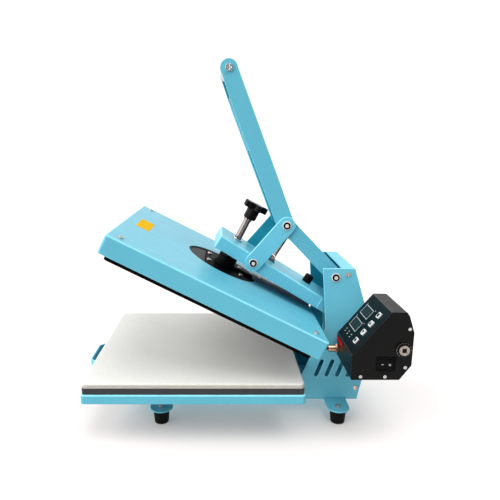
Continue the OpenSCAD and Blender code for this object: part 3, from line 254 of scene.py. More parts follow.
FINISHES = {
    "turquoise": powder_coat(
        "powder_coat", (98, 184, 206), 0.34, tone=0.025, rough_span=0.03,
        specular_ior_level=0.22, coat_weight=0.08, coat_roughness=0.2),
    # A lighter coat on the sheets' eased edges and folds: a painted highlight
    "turquoise_edge": powder_coat(
        "powder_coat_painted_highlight", (136, 216, 233), 0.3, patch=25, specular_ior_level=0.3),
    "turquoise_matte": powder_coat(
        "matte_powder_coat", (100, 182, 203), 0.55, tone=0.025, rough_span=0.03,
        specular_ior_level=0.06),
    # A darker coat on inner faces, the lever's web and the handle's inner face: painted shade
    "turquoise_painted_shade": powder_coat(
        "powder_coat_painted_shade", (44, 154, 178), 0.5, specular_ior_level=0.06),
    # A lighter copy of the coat on the frame, rear cover, beam and link plates: painted light
    "turquoise_painted_light": powder_coat(
        "powder_coat_painted_light", (108, 194, 216), 0.36, tone=0.03, rough_span=0.03,
        specular_ior_level=0.2),
    "grey_primer": finish(
        "grey_primer", (112, 111, 110), 0.7, tone=0.06, patch=40, grain=0.8,
        specular_ior_level=0.1),
    "chrome": finish(
        "polished_chrome", (196, 197, 200), 0.09, 1.0, tone=0.02, patch=12, rough_span=0.03,
        grain=0.6, relief=0.01),
    # Chrome with a darkened base: a painted dark reflection
    "dark_chrome": finish(
        "chrome_painted_dark_reflection", (122, 116, 113), 0.07, 1.0, tone=0.06, patch=8, rough_span=0.04,
        grain=0.6, relief=0.02),
    # The grip's chrome is darkened too: a painted dark reflection
    "grip_chrome": finish(
        "grip_chrome_painted_dark_reflection", (120, 116, 114), 0.12, 1.0, tone=0.08, patch=9, grain=0.6, relief=0.02),
    "zinc": finish(
        "zinc_plate", (176, 178, 182), 0.34, 1.0, tone=0.08, patch=18, rough_span=0.08,
        grain=0.5, stretch=(0.04, 1, 1)),
    "black_sheet": finish(
        "textured_black", (2, 2, 2), 0.36, tone=0.12, patch=30, grain=0.7, relief=0.06,
        specular_ior_level=0.14),
    # A lighter black on the control box's eased edges: a painted highlight
    "black_sheet_edge": finish(
        "black_painted_highlight", (40, 42, 44), 0.36, tone=0.15, patch=20, grain=0.7, relief=0.06,
        specular_ior_level=0.3),
    "switch_black": finish(
        "glossy_black", (4, 4, 4), 0.3, tone=0.15, patch=10, grain=0.5, relief=0.04,
        specular_ior_level=0.08),
    "heat_coat": finish(
        "non_stick_coat", (3, 3, 3), 0.5, tone=0.15, grain=0.5, relief=0.08,
        specular_ior_level=0.04),
    "casting_black": finish(
        "cast_black", (4, 5, 5), 0.5, tone=0.15, patch=20, grain=1.6, relief=0.12,
        specular_ior_level=0.05),
    "plate_grey": finish(
        "coated_plate", (50, 53, 55), 0.42, tone=0.06, patch=40, grain=0.5,
        stretch=(0.05, 1, 1), specular_ior_level=0.25),
    "silicone": finish(
        "silicone_foam", (213, 213, 208), 0.62, tone=0.02, patch=45, grain=0.8, relief=0.12,
        flecks=((236, 236, 232), 1.5, 0.2), specular_ior_level=0.3),
    # A darker foam on the pad's sides: painted shade
    "silicone_edge": finish(
        "foam_side_painted_shade", (187, 184, 175), 0.75, patch=12, grain=0.6, relief=0.2,
        specular_ior_level=0.2),
    "rubber_black": finish(
        "black_rubber", (9, 9, 10), 0.5, tone=0.15, patch=15, grain=0.7, relief=0.14,
        specular_ior_level=0.09),
    "knob_black": finish(
        "moulded_black", (3, 3, 3), 0.18, tone=0.12, patch=15, grain=0.6, relief=0.04,
        specular_ior_level=0.08),
    "panel_film": finish(
        "panel_film", (8, 11, 12), 0.4, tone=0.07, patch=25, grain=0.4, specular_ior_level=0.1),
    "window_dark": finish(
        "display_window", (30, 33, 34), 0.2, tone=0.1, patch=10, grain=0.5, relief=0.02,
        specular_ior_level=0.15),
    "light_clear": finish("clear_lamp", (206, 206, 200), 0.2, tone=0.08, patch=3, relief=0.03),
    "button_grey": finish(
        "button_cap", (206, 207, 206), 0.4, tone=0.04, patch=6, grain=0.4, relief=0.06),
    "board_green": finish("board_lacquer", (34, 92, 58), 0.34, tone=0.2, patch=9, grain=0.8),
    "insulation": finish(
        "pressed_board", (64, 62, 61), 0.6, tone=0.12, patch=14, grain=1.4, relief=0.15,
        flecks=((88, 86, 84), 2, 0.3), specular_ior_level=0.15),
    "element_steel": finish("stained_steel", (120, 112, 104), 0.42, 0.9, tone=0.2, patch=16),
    "bolt_plate": finish(
        "plated_bolt", (232, 224, 218), 0.38, 0.45, tone=0.08, patch=5, rough_span=0.08, grain=0.5),
    "worn_nickel": finish(
        "worn_nickel", (150, 140, 134), 0.2, 1.0, tone=0.3, patch=5, rough_span=0.1, grain=0.5,
        relief=0.08),
    "screw_plate": finish(
        "plated_screw", (206, 192, 184), 0.18, 0.95, tone=0.3, patch=4, rough_span=0.08, grain=2,
        relief=0.5),
    "bar_steel": finish(
        "dull_steel", (66, 88, 102), 0.5, 0.15, tone=0.1, patch=22, rough_span=0.06, grain=0.6,
        relief=0.06, stretch=(0.05, 1, 0.05)),
    "spring_steel": finish("spring_steel", (34, 32, 31), 0.22, 0.95, tone=0.15, patch=6),
    "gland_brass": finish(
        "plated_brass", (180, 140, 118), 0.16, 1.0, tone=0.1, patch=8, grain=0.5, relief=0.04),
    "label_yellow": finish(
        "plain_yellow_film", (226, 176, 4), 0.5, tone=0.04, patch=12, specular_ior_level=0.01),
    "label_red": finish(
        "plain_red_film", (206, 18, 32), 0.5, patch=12, specular_ior_level=0.03),
    "mark_light": finish("printed_light", (196, 199, 197), 0.5, tone=0.06, patch=4),
    "mark_dark": finish(
        "printed_dark", (10, 11, 12), 0.5, tone=0.1, patch=4, specular_ior_level=0.1),
}
# Nodes whose finish differs from that of their material slot. The frame parts' lighter coat is
# painted light, and the darkened chrome is a painted dark reflection
OWN_FINISH = {
    "near_side_plate": "turquoise_painted_light", "far_side_plate": "turquoise_painted_light",
    "base_plate": "turquoise_painted_light", "rear_cover": "turquoise_painted_light",
    "arm_beam": "turquoise_painted_light", "link_plates": "turquoise_painted_light",
    "lever_frame": "turquoise_matte", "frame_screws": "screw_plate", "head_screws": "screw_plate",
    "lever_pivot_bolt": "bolt_plate", "elbow_bolt": "bolt_plate", "link_bolts": "bolt_plate",
    "pressure_screw": "dark_chrome", "spring_post": "dark_chrome", "grip_tube": "grip_chrome",
    "power_socket": "worn_nickel", "switch_bezel": "switch_black", "switch_rocker": "switch_black",
}


def finish_of(node):
    return FINISHES[OWN_FINISH.get(node, SLOT_OF[node])]


# Mesh helpers

# Points closer than this are joined
WELD = 0.005 * MM
# Faces that meet within the first angle are one face, and past the others their edge is eased
FLAT_DEG = 1
SHARP_DEG = 32
NODE_SHARP_DEG = 35
FOLD_STEPS = 4
EASE_STEPS = 2
CORNER_STEPS = 6
# Profile of a round bevel
ROUND = 0.5
# A swept tube's first side points about this way
SWEEP_SIDE = (0, 1, 0.2)
# A face looks along an axis when its normal has more than this share of it
FACING = 0.5
# Places of a piece's finishes in its list of materials; the second holds the painted highlight on
# eased sheet edges, and the painted shade on the pad's sides
COAT, EDGE, OTHER = range(3)


def add_piece(name, mesh, slot, place=IDENTITY):
    """Makes a piece of a mesh drawn in the frame place, with a finish."""
    mesh.transform(place)
    bmesh.ops.recalc_face_normals(mesh, faces=mesh.faces)
    data = bpy.data.meshes.new(name)
    mesh.to_mesh(data)
    mesh.free()
    data.shade_smooth()
    data.materials.append(FINISHES[slot])
    piece = bpy.data.objects.new(name, data)
    bpy.context.scene.collection.objects.link(piece)
    piece.modifiers.new("even_normals", "WEIGHTED_NORMAL").keep_sharp = True
    return piece


def stand_in(piece, node):
    """The piece stands for a node and moves with it."""
    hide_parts(node)
    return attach(piece, BODY_OF[node])


def loft(rings):
    """A closed skin through rings that have as many points each."""
    mesh = bmesh.new()
    rows = [[mesh.verts.new(point) for point in ring] for ring in rings]
    for low, high in zip(rows, rows[1:]):
        for k in range(len(low)):
            after = (k + 1) % len(low)
            mesh.faces.new((low[k], low[after], high[after], high[k]))
    mesh.faces.new(rows[0][::-1])
    mesh.faces.new(rows[-1])
    return mesh


def turn_points(count):
    """Angles that share out a full turn."""
    return [2 * math.pi * k / count for k in range(count)]


def sweep(path, radius, sides):
    """A capped round tube along a path, carried on without twist."""
    side = Vector(SWEEP_SIDE)
    rings = []
    for k, point in enumerate(path):
        ahead = (path[min(k + 1, len(path) - 1)] - path[max(k - 1, 0)]).normalized()
        side = (side - side.dot(ahead) * ahead).normalized()
        over = ahead.cross(side)
        rings.append([point + radius * (math.cos(a) * side + math.sin(a) * over)
                      for a in turn_points(sides)])
    return loft(rings)


def bar_shape(x, y):
    """Corner points of a rectangle with these half sides, anticlockwise."""
    return [(-x, -y), (x, -y), (x, y), (-x, y)]


def round_square(half_x, half_y, radius, steps=CORNER_STEPS):
    """Points of a rectangle with round corners, anticlockwise."""
    points = []
    for quarter, (x, y) in enumerate(((1, 1), (-1, 1), (-1, -1), (1, -1))):
        for k in range(steps + 1):
            a = math.pi / 2 * (quarter + k / steps)
            points.append(Vector((x * (half_x - radius) + radius * math.cos(a),
                                  y * (half_y - radius) + radius * math.sin(a))))
    return points


def moved(outline, x, y):
    return [Vector((point[0] + x, point[1] + y)) for point in outline]


def flat_shapes(outlines, bottom, top, ease):
    """Thin flat shapes with eased upper edges, one for each outline."""
    mesh = bmesh.new()
    for outline in outlines:
        low = [mesh.verts.new((x, y, bottom)) for x, y in outline]
        face = mesh.faces.new(low)
        raised = bmesh.ops.extrude_face_region(mesh, geom=[face])["geom"]
        lifted = [part for part in raised if isinstance(part, bmesh.types.BMVert)]
        bmesh.ops.translate(mesh, verts=lifted, vec=(0, 0, top - bottom))
        rim = [e for e in mesh.edges if all(v in lifted for v in e.verts)]
        bmesh.ops.bevel(mesh, geom=rim, offset=ease, segments=EASE_STEPS, profile=ROUND,
                        affect="EDGES")
    return mesh


def is_sharp(edge):
    return len(edge.link_faces) == 2 and edge.calc_face_angle() > math.radians(SHARP_DEG)


def cleaned_copy(node):
    """A node's mesh with its facets joined and its flat faces whole."""
    mesh = bmesh.new()
    mesh.from_mesh(frame["nodes"][node].data)
    bmesh.ops.remove_doubles(mesh, verts=mesh.verts, dist=WELD)
    bmesh.ops.dissolve_limit(mesh, angle_limit=math.radians(FLAT_DEG), verts=mesh.verts,
                             edges=mesh.edges)
    return mesh


def ease_edges(mesh, edges, radius, segments):
    """Rounds edges; the new faces take the second finish, a lighter painted highlight."""
    bmesh.ops.bevel(mesh, geom=edges, offset=radius, offset_type="OFFSET", segments=segments,
                    profile=ROUND, affect="EDGES", clamp_overlap=False, material=EDGE)


def soften(node, width):
    """Eases the edges of a node that keeps its own shape."""
    piece = frame["nodes"][node]
    weld = piece.modifiers.new("weld", "WELD")
    weld.merge_threshold = WELD
    whole = piece.modifiers.new("whole_faces", "DECIMATE")
    whole.decimate_type = "DISSOLVE"
    whole.angle_limit = math.radians(FLAT_DEG)
    ease = piece.modifiers.new("eased_edges", "BEVEL")
    ease.width = width
    ease.segments = EASE_STEPS
    ease.limit_method = "ANGLE"
    ease.angle_limit = math.radians(NODE_SHARP_DEG)
    ease.use_clamp_overlap = False
    piece.modifiers.new("even_normals", "WEIGHTED_NORMAL").keep_sharp = True


# Sheet metal

# Radius of each sheet's folds, and how far its cut edges are eased, in millimetres
SHEET_EDGES = {
    "head_cover": (2.5, 0.5), "tray": (2.5, 0.5), "arm_beam": (2.5, 0.5),
    "lever_frame": (0.4, 0.4), "link_plates": (1.2, 0.5), "arm_cheeks": (0.9, 0.5),
    "near_side_plate": (0.9, 0.5), "far_side_plate": (0.9, 0.5), "box_shell": (1.4, 0.5),
    "drawer_handle": (0.7, 0.7),
}
# The lever's web lies within this distance of the middle, and its faces there take painted shade
LEVER_INSIDE = 55.5 * MM
# The fold round a tray's top lies within this distance of its sides
RIM_BAND = 7 * MM
# A bend of the control box is longer than this, and runs across the press by this share
BOX_BEND_LONG = 60 * MM
BOX_BEND_ACROSS = 0.99


def folded(node, is_fold, place=IDENTITY):
    """A copy of a sheet node with its folds bent to a radius and its cut edges eased, the eased
    faces in a lighter finish as painted highlight.
    """
    fold_r, cut_r = (r * MM for r in SHEET_EDGES[node])
    mesh = cleaned_copy(node)
    back = place.inverted()
    folds = []
    for edge in filter(is_sharp, mesh.edges):
        first, last = edge.verts
        if is_fold(edge, back @ ((first.co + last.co) / 2)):
            folds.append(edge)
    ease_edges(mesh, folds, fold_r, FOLD_STEPS)
    ease_edges(mesh, [e for e in mesh.edges if is_sharp(e)], cut_r, EASE_STEPS)
    piece = stand_in(add_piece(node + "_sheet", mesh, SLOT_OF[node]), node)
    piece.data.materials[COAT] = finish_of(node)
    # The eased faces take a lighter finish: a painted highlight along folds and edges
    piece.data.materials.append(FINISHES[SLOT_OF[node] + "_edge"])
    return piece


def paint_faces(piece, slot, is_chosen):
    """Gives the chosen faces of a sheet another finish."""
    piece.data.materials.append(FINISHES[slot])
    for face in piece.data.polygons:
        if face.material_index == COAT and is_chosen(face.center, face.normal):
            face.material_index = OTHER


def faces_middle(centre, normal):
    return normal.y * math.copysign(1, centre.y) < -FACING


def in_lever(centre, normal):
    return faces_middle(centre, normal) or abs(centre.y) < LEVER_INSIDE


def outer_faces(node):
    """Picks the edges on a node's two outermost upright faces."""
    low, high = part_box(node)
    reach = max(-low.y, high.y) - NEAR
    return lambda edge, middle: abs(middle.y) > reach


def top_rim(node, place=IDENTITY):
    """Picks the fold round the top of a tray-shaped node."""
    low, high = box_in(place, node)

    def is_fold(edge, middle):
        inside_x = low.x + RIM_BAND < middle.x < high.x - RIM_BAND
        inside_y = abs(middle.y) < high.y - RIM_BAND
        return middle.z > high.z - NEAR and not (inside_x and inside_y)
    return is_fold


def beam_folds():
    """Picks the beam's long upper folds and those round its front."""
    low, high = box_in(BEAM, "arm_beam")

    def is_fold(edge, middle):
        top = middle.z > high.z - NEAR
        side = abs(middle.y) > high.y - NEAR
        front = middle.x < low.x + NEAR
        return (top and side) or (front and (top or side))
    return is_fold


def box_bends(edge, middle):
    """Picks the bends of the control box, which run across the press."""
    run = edge.verts[1].co - edge.verts[0].co
    across = abs(run.normalized().y) > BOX_BEND_ACROSS
    return edge.is_convex and abs(run.y) > BOX_BEND_LONG and across


def no_folds(edge, middle):
    return False


def dress_sheet_metal():
    folded("head_cover", top_rim("head_cover", HEAD), HEAD)
    tray = folded("tray", top_rim("tray"))
    paint_faces(tray, "grey_primer", lambda centre, normal: normal.z < -FACING)
    folded("arm_beam", beam_folds(), BEAM)
    lever = folded("lever_frame", outer_faces("lever_frame"))
    # The lever's web and inner faces take painted shade
    paint_faces(lever, "turquoise_painted_shade", in_lever)
    link = folded("link_plates", outer_faces("link_plates"))
    # The link plates' inner faces take painted shade
    paint_faces(link, "turquoise_painted_shade", faces_middle)
    folded("arm_cheeks", outer_faces("arm_cheeks"))
    for node in ("near_side_plate", "far_side_plate"):
        plate = folded(node, outer_faces(node))
        # The side plates' inner faces take painted shade
        paint_faces(plate, "turquoise_painted_shade", faces_middle)
    folded("box_shell", box_bends)
    handle = folded("drawer_handle", no_folds)
    # The handle's inner face takes painted shade
    paint_faces(handle, "turquoise_painted_shade", lambda centre, normal: normal.x > FACING)


# Nodes that keep their shape

# How far their edges are eased, in millimetres
EASED = {
    "base_plate": 0.8, "rear_cover": 0.4, "rubber_feet": 1.5, "frame_screws": 0.4,
    "lever_pivot_bolt": 0.5, "lever_spacers": 0.4, "arm_pivot_shaft": 0.6, "fixed_rails": 0.3,
    "box_side_cover": 0.5, "display_panel": 0.25, "display_windows": 0.2, "indicator_lights": 0.2,
    "circuit_board": 0.2, "power_relay": 0.5, "switch_bezel": 0.4, "power_socket": 0.4,
    "box_screws": 0.3, "box_gland": 0.4, "lower_plate": 0.9, "drawer_hangers": 0.3,
    "drawer_rails": 0.3, "middle_rails": 0.3, "arm_pivot_tube": 0.4, "link_pin": 0.4,
    "stop_bumper": 0.8, "screw_nut": 0.5, "spring_post": 0.4, "heat_plate": 0.8,
    "insulation_board": 0.4, "centre_casting": 1.2, "steady_bar": 0.8, "head_screws": 0.4,
    "head_grommet": 0.5, "pressure_screw": 0.5, "grip_tube": 0.5, "grip_screws": 0.5,
    "elbow_bolt": 0.5, "spring_pin": 0.4, "link_bolts": 0.5, "button_1": 0.7, "button_2": 0.7,
    "button_3": 0.7, "button_4": 0.7, "switch_rocker": 0.6,
}


def dress_nodes():
    """Every node gets its finish, and those that are seen in their own shape get eased edges."""
    for node, piece in frame["nodes"].items():
        piece.data.materials.clear()
        piece.data.materials.append(finish_of(node))
        if node in EASED:
            soften(node, EASED[node] * MM)


# Pad

# Radius of the corners at the pad's edge, and the least further in, in millimetres
PAD_CORNER_R = 8
PAD_CORNER_MIN_R = 2
# Insets from the pad's edge, with heights over its foot or depths under its top, in millimetres
PAD_FOOT = ((1.6, 0), (0.4, 0.4), (0, 1.4))
PAD_CROWN = ((0.1, 3.6), (0.7, 1.6), (2, 0.4), (4, 0), (90, 0))
# The pad's sides, which take painted shade, are where a face's normal has less than this share up
# or down
PAD_TOP_SHARE = 0.6


def make_pad():
    low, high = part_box("silicone_pad")
    centre = (low + high) / 2
    half = (high.x - low.x) / 2
    profile = [(inset, low.z + rise * MM) for inset, rise in PAD_FOOT]
    profile += [(inset, high.z - drop * MM) for inset, drop in PAD_CROWN]
    rings = []
    for inset, z in profile:
        reach = half - inset * MM
        corner_r = max(PAD_CORNER_R - inset / 2, PAD_CORNER_MIN_R) * MM
        outline = moved(round_square(reach, reach, corner_r), centre.x, centre.y)
        rings.append([(x, y, z) for x, y in outline])
    pad = add_piece("silicone_pad_foam", loft(rings), "silicone")
    # The pad's side faces take the darker finish: painted shade
    pad.data.materials.append(FINISHES["silicone_edge"])
    for face in pad.data.polygons:
        face.material_index = EDGE if abs(face.normal.z) < PAD_TOP_SHARE else COAT
    stand_in(pad, "silicone_pad")


# Return spring

COIL_R = 3.7 * MM
CURLS = 22
WIRE_R = 0.8 * MM
WIRE_SIDES = 10
# Steps in each turn of the coil and in each hook
CURL_STEPS = 20
HOOK_R = 4.15 * MM
# From a pin's middle to the coil's end
HOOK_RISE = 7.1 * MM
HOOK_START_DEG = -140
HOOK_TURN_DEG = 230
# Half of what the pins move apart as the press shuts
SPRING_SPARE = 0.65 * MM


def make_spring():
    foot = Vector(JOINTS["spring_swing"]["pos_m"])
    low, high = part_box("spring_pin")
    head = Vector(((low.x + high.x) / 2, 0, (low.z + high.z) / 2))
    length = (head - foot).length + SPRING_SPARE
    hook = []
    for k in range(CURL_STEPS + 1):
        a = math.radians(HOOK_START_DEG + HOOK_TURN_DEG * k / CURL_STEPS)
        hook.append(Vector((HOOK_R * math.sin(a), 0, -HOOK_R * math.cos(a))))
    steps = CURLS * CURL_STEPS
    rise = (length - 2 * HOOK_RISE) / steps
    coil = []
    for k in range(steps + 1):
        a = 2 * math.pi * k / CURL_STEPS
        coil.append(Vector((COIL_R * math.cos(a), COIL_R * math.sin(a), HOOK_RISE + rise * k)))
    upper = [Vector((p.x, p.y, length - p.z)) for p in reversed(hook)]
    mesh = sweep(hook + coil + upper, WIRE_R, WIRE_SIDES)
    place = upright_frame(foot, head - foot)
    stand_in(add_piece("return_spring_wire", mesh, "spring_steel", place), "return_spring")


# Heater lead

LEAD_R = 3 * MM
LEAD_SIDES = 16
LEAD_STEPS = 40
# Length inside each fitting
LEAD_IN = 4 * MM
# Length of the curve's handles at the two fittings
LEAD_HANDLE = 34 * MM
# Share of the lead's steps in its first piece, from the box; the second piece runs on from there to
# the head
LEAD_SPLIT = 0.5


def bezier(points, t):
    a, b, c, d = points
    return (1 - t) ** 3 * a + 3 * t * (1 - t) ** 2 * b + 3 * t * t * (1 - t) * c + t ** 3 * d


def make_lead():
    """The heater lead bends between the control box and the head."""
    low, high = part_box("box_gland")
    start = Vector((low.x, (low.y + high.y) / 2, (low.z + high.z) / 2))
    low, high = box_in(HEAD, "head_grommet")
    end = HEAD @ Vector((high.x, (low.y + high.y) / 2, (low.z + high.z) / 2))
    into_box = Vector((1, 0, 0))
    out_of_head = HEAD.to_3x3() @ Vector((1, 0, 0))
    handles = (start, start - LEAD_HANDLE * into_box, end + LEAD_HANDLE * out_of_head, end)
    path = [bezier(handles, k / LEAD_STEPS) for k in range(LEAD_STEPS + 1)]
    split = round(LEAD_SPLIT * LEAD_STEPS)
    middle = path[split]
    at_box = [start + LEAD_IN * into_box] + path[:split + 1]
    at_head = path[split:] + [end - LEAD_IN * out_of_head]
    lengths = (("heater_lead_flex", at_box, "frame", "arm", start, middle),
               ("heater_lead_end", at_head, "arm", "head", middle, end))
    for name, points, body, next_body, first, last in lengths:
        lead = add_piece(name, sweep(points, LEAD_R, LEAD_SIDES), "rubber_black")
        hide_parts("heater_lead")
        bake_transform(lead)


# Star knob

LOBES = 5
VALLEY_R = 15 * MM
LOBE_R = 25.5 * MM
# Higher makes the lobes narrower
LOBE_POWER = 0.8
STAR_T = 12.2 * MM
RIBS = 10
KNOB_POINTS = 200
# Rings from the hub's foot to the star's top, in millimetres. A hub ring has a radius, a height
# over the foot or a depth under the star, and a depth of ribs. A star ring has an inset, and a
# height over the star's underside or a depth under its top.
HUB_FOOT = ((10.4, 0, 0), (11, 0.3, 0), (11.4, 1, 0.2), (12.1, 3, 0.5))
HUB_NECK = ((12.1, 1.2, 0.5), (12.8, 0, 0.2))
STAR_UNDER = ((1.2, 0), (0.35, 0.35), (0, 1.2))
STAR_TOP = ((0, 1.6), (0.35, 0.6), (1.2, 0.1), (2.6, 0))
TOP_MIDDLE_R = 7


def make_knob():
    low, high = box_in(HEAD, "pressure_knob")
    height = high.z - low.z
    under = height - STAR_T
    angles = turn_points(KNOB_POINTS)
    lobes = [(0.5 + 0.5 * math.cos(LOBES * a)) ** LOBE_POWER for a in angles]

    def ring(radii, z):
        return [(r * math.cos(a), r * math.sin(a), z) for a, r in zip(angles, radii)]

    def star_ring(inset, z):
        return ring([VALLEY_R + (LOBE_R - VALLEY_R) * lobe - inset * MM for lobe in lobes], z)

    def hub_ring(radius, z, rib=0):
        return ring([(radius + rib * math.cos(RIBS * a)) * MM for a in angles], z)
    rings = [hub_ring(radius, rise * MM, rib) for radius, rise, rib in HUB_FOOT]
    rings += [hub_ring(radius, under - drop * MM, rib) for radius, drop, rib in HUB_NECK]
    rings += [star_ring(inset, under + rise * MM) for inset, rise in STAR_UNDER]
    rings += [star_ring(inset, height - drop * MM) for inset, drop in STAR_TOP]
    rings.append(hub_ring(TOP_MIDDLE_R, height))
    place = HEAD @ Matrix.Translation(((low.x + high.x) / 2, 0, low.z))
    stand_in(add_piece("pressure_knob_star", loft(rings), "knob_black", place), "pressure_knob")


# Rings on bolts and socket

RING_POINTS = 96
# A ring's edges are eased by this share of its thickness, up to a limit
RING_EASE_SHARE = 0.25
RING_EASE_MAX = 0.4 * MM
# Higher makes the gaps between teeth narrower
TOOTH_LEVEL = 0.3
BOLT_RING_INNER_R = 3.35 * MM
BOLT_RING_OUTER_R = 6.5 * MM
BOLT_RING_T = 2 * MM
# Length of a bolt's turned end, which the ring sits on
BOLT_END = 3.6 * MM


def ring_mesh(inner, outer, bottom, top, teeth=0, depth=0.0):
    """A flat ring round the z axis with eased edges, and teeth on its rim where asked."""
    ease = min(RING_EASE_SHARE * (top - bottom), RING_EASE_MAX)
    mesh = bmesh.new()
    profile = [(inner, bottom), (outer, bottom), (outer, top - ease), (outer - ease, top),
               (inner + ease, top), (inner, top - ease)]
    rows = []
    for a in turn_points(RING_POINTS):
        cut = depth * (math.cos(teeth * a) > TOOTH_LEVEL) if teeth else 0
        row = []
        for r, z in profile:
            reach = r - cut if r > (inner + outer) / 2 else r
            row.append(mesh.verts.new((reach * math.cos(a), reach * math.sin(a), z)))
        rows.append(row)
    for k, row in enumerate(rows):
        after = rows[(k + 1) % len(rows)]
        for i in range(len(profile)):
            j = (i + 1) % len(profile)
            mesh.faces.new((row[i], row[j], after[j], after[i]))
    return mesh


def bolt_rings(name, node, body):
    """A black ring round each of a bolt's two turned ends."""
    low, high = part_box(node)
    middle = (low + high) / 2
    mesh = bmesh.new()
    for side, reach in ((-1, low.y), (1, high.y)):
        ring = ring_mesh(BOLT_RING_INNER_R, BOLT_RING_OUTER_R, 0, BOLT_RING_T)
        foot = Matrix.Translation((middle.x, reach - side * BOLT_END, middle.z))
        ring.transform(foot @ Matrix.Rotation(-side * math.pi / 2, 4, "X"))
        copy = bpy.data.meshes.new("ring")
        ring.to_mesh(copy)
        ring.free()
        mesh.from_mesh(copy)
        bpy.data.meshes.remove(copy)
    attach(add_piece(name, mesh, "rubber_black"), body)


# The locking ring stands this far under the socket's face
SOCKET_STEP = 3 * MM
SOCKET_RING_INNER_R = 9.1 * MM
SOCKET_RING_OUTER_R = 12.2 * MM
SOCKET_RING_T = 2 * MM
SOCKET_TEETH = 14
SOCKET_TOOTH = 1.1 * MM
INSERT_HALF = 3.4 * MM
# Depths of the insert's foot and face under the socket's face
INSERT_FOOT = 5.4 * MM
INSERT_FACE = 1.2 * MM
INSERT_EASE = 0.2 * MM


def make_socket_trim():
    """A toothed locking ring and a dark square insert on the power socket."""
    low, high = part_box("power_socket")
    face = Vector(((low.x + high.x) / 2, low.y, (low.z + high.z) / 2))
    place = Matrix.Translation(face) @ NEAR_FACE
    mesh = ring_mesh(SOCKET_RING_INNER_R, SOCKET_RING_OUTER_R, -SOCKET_STEP,
                     -SOCKET_STEP + SOCKET_RING_T, SOCKET_TEETH, SOCKET_TOOTH)
    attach(add_piece("socket_ring", mesh, "knob_black", place), "frame")
    mesh = flat_shapes([bar_shape(INSERT_HALF, INSERT_HALF)], -INSERT_FOOT, -INSERT_FACE,
                       INSERT_EASE)
    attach(add_piece("socket_insert", mesh, "switch_black", place), "frame")


# Films and printed signs

FILM_T = 0.25 * MM
FILM_EASE = 0.08 * MM
STICKER_HALF_X = 13.9 * MM
STICKER_HALF_Y = 41.9 * MM
STICKER_CORNER_R = 1.5 * MM
# The sticker's middle, from the head's front and from the press's middle
STICKER_BACK = 36.8 * MM
STICKER_ASIDE = 2.3 * MM
STRIP_HALF_X = 22 * MM
STRIP_HALF_Y = 5 * MM
STRIP_CORNER_R = 0.8 * MM
# The strip's middle, from the box's far side and from its foot
STRIP_ASIDE = 22 * MM
STRIP_UP = 33.3 * MM


def make_head_sticker():
    """A blank sticker on the head's cover."""
    low, high = box_in(HEAD, "head_cover")
    outline = moved(round_square(STICKER_HALF_X, STICKER_HALF_Y, STICKER_CORNER_R),
                    low.x + STICKER_BACK, STICKER_ASIDE)
    mesh = flat_shapes([outline], high.z, high.z + FILM_T, FILM_EASE)
    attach(add_piece("blank_sticker", mesh, "label_yellow", HEAD), "head")


def make_box_strip():
    """A plain red strip on the control box's front face."""
    low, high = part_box("box_shell")
    outline = moved(round_square(STRIP_HALF_X, STRIP_HALF_Y, STRIP_CORNER_R),
                    -high.y + STRIP_ASIDE, low.z + STRIP_UP)
    mesh = flat_shapes([outline], -low.x, -low.x + FILM_T, FILM_EASE)
    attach(add_piece("box_strip", mesh, "label_red", FRONT_FACE), "frame")


# Length of each display window along the panel
WINDOW_LONG = 20 * MM
LINE_W = 0.9 * MM
LINE_T = 0.1 * MM
PRINT_EASE = 0.03 * MM
DOT_HALF = 0.9 * MM
DOT_CORNER_R = 0.4 * MM
DOT_STEPS = 3
# The dots' middles, past a window's end and past its sides
DOT_PAST = 2 * MM
DOT_ASIDE = 2.5 * MM


def line_frame(low, high):
    """Four thin bars inside a rectangle's sides."""
    bars = []
    for x0, y0, x1, y1 in ((low.x, low.y, high.x, low.y + LINE_W),
                           (low.x, high.y - LINE_W, high.x, high.y),
                           (low.x, low.y + LINE_W, low.x + LINE_W, high.y - LINE_W),
                           (high.x - LINE_W, low.y + LINE_W, high.x, high.y - LINE_W)):
        bars.append([(x0, y0), (x1, y0), (x1, y1), (x0, y1)])
    return bars


def make_window_lines():
    """Pale lines round the two display windows, and dots at their corners."""
    low, high = box_in(PANEL, "display_windows")
    film = box_in(PANEL, "display_panel")[1].z
    dot = round_square(DOT_HALF, DOT_HALF, DOT_CORNER_R, DOT_STEPS)
    bars = []
    dots = []
    for start in (low.x, high.x - WINDOW_LONG):
        end = start + WINDOW_LONG
        bars += line_frame(Vector((start, low.y)), Vector((end, high.y)))
        dots += [moved(dot, end + DOT_PAST, y) for y in (low.y - DOT_ASIDE, high.y + DOT_ASIDE)]
    for name, outlines, bottom in (("window_lines", bars, high.z), ("window_dots", dots, film)):
        mesh = flat_shapes(outlines, bottom, bottom + LINE_T, PRINT_EASE)
        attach(add_piece(name, mesh, "mark_light", PANEL), "frame")


SIGN_T = 0.12 * MM
# Outlines of the keys' signs, in millimetres
ARROW = [(3.9, 0), (-2.9, 3.9), (-2.9, -3.9)]
KEY_SIGNS = {
    "button_1": [bar_shape(3.9, 1.6), bar_shape(1.6, 3.9)],
    "button_2": [[(-x, -y) for x, y in ARROW]],
    "button_3": [ARROW],
    "button_4": [bar_shape(3.3, 3.3)],
}


def make_key_signs():
    for node, shapes in KEY_SIGNS.items():
        low, high = box_in(PANEL, node)
        middle = (low + high) / 2
        outlines = [moved([(x * MM, y * MM) for x, y in shape], middle.x, middle.y)
                    for shape in shapes]
        mesh = flat_shapes(outlines, high.z, high.z + SIGN_T, PRINT_EASE)
        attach(add_piece(node + "_icon", mesh, "mark_dark", PANEL), BODY_OF[node])


ROCKER_BAR_HALF_X = 1.9 * MM
ROCKER_BAR_HALF_Y = 0.45 * MM
ROCKER_RING_INNER_R = 1 * MM
ROCKER_RING_OUTER_R = 1.8 * MM
# Where the two signs sit along the rocker, as shares of its length
ROCKER_BAR_SHARE = 0.26
ROCKER_RING_SHARE = 0.74
# Their places are found by looking at the rocker from this far off, in metres
RAY_START = 1


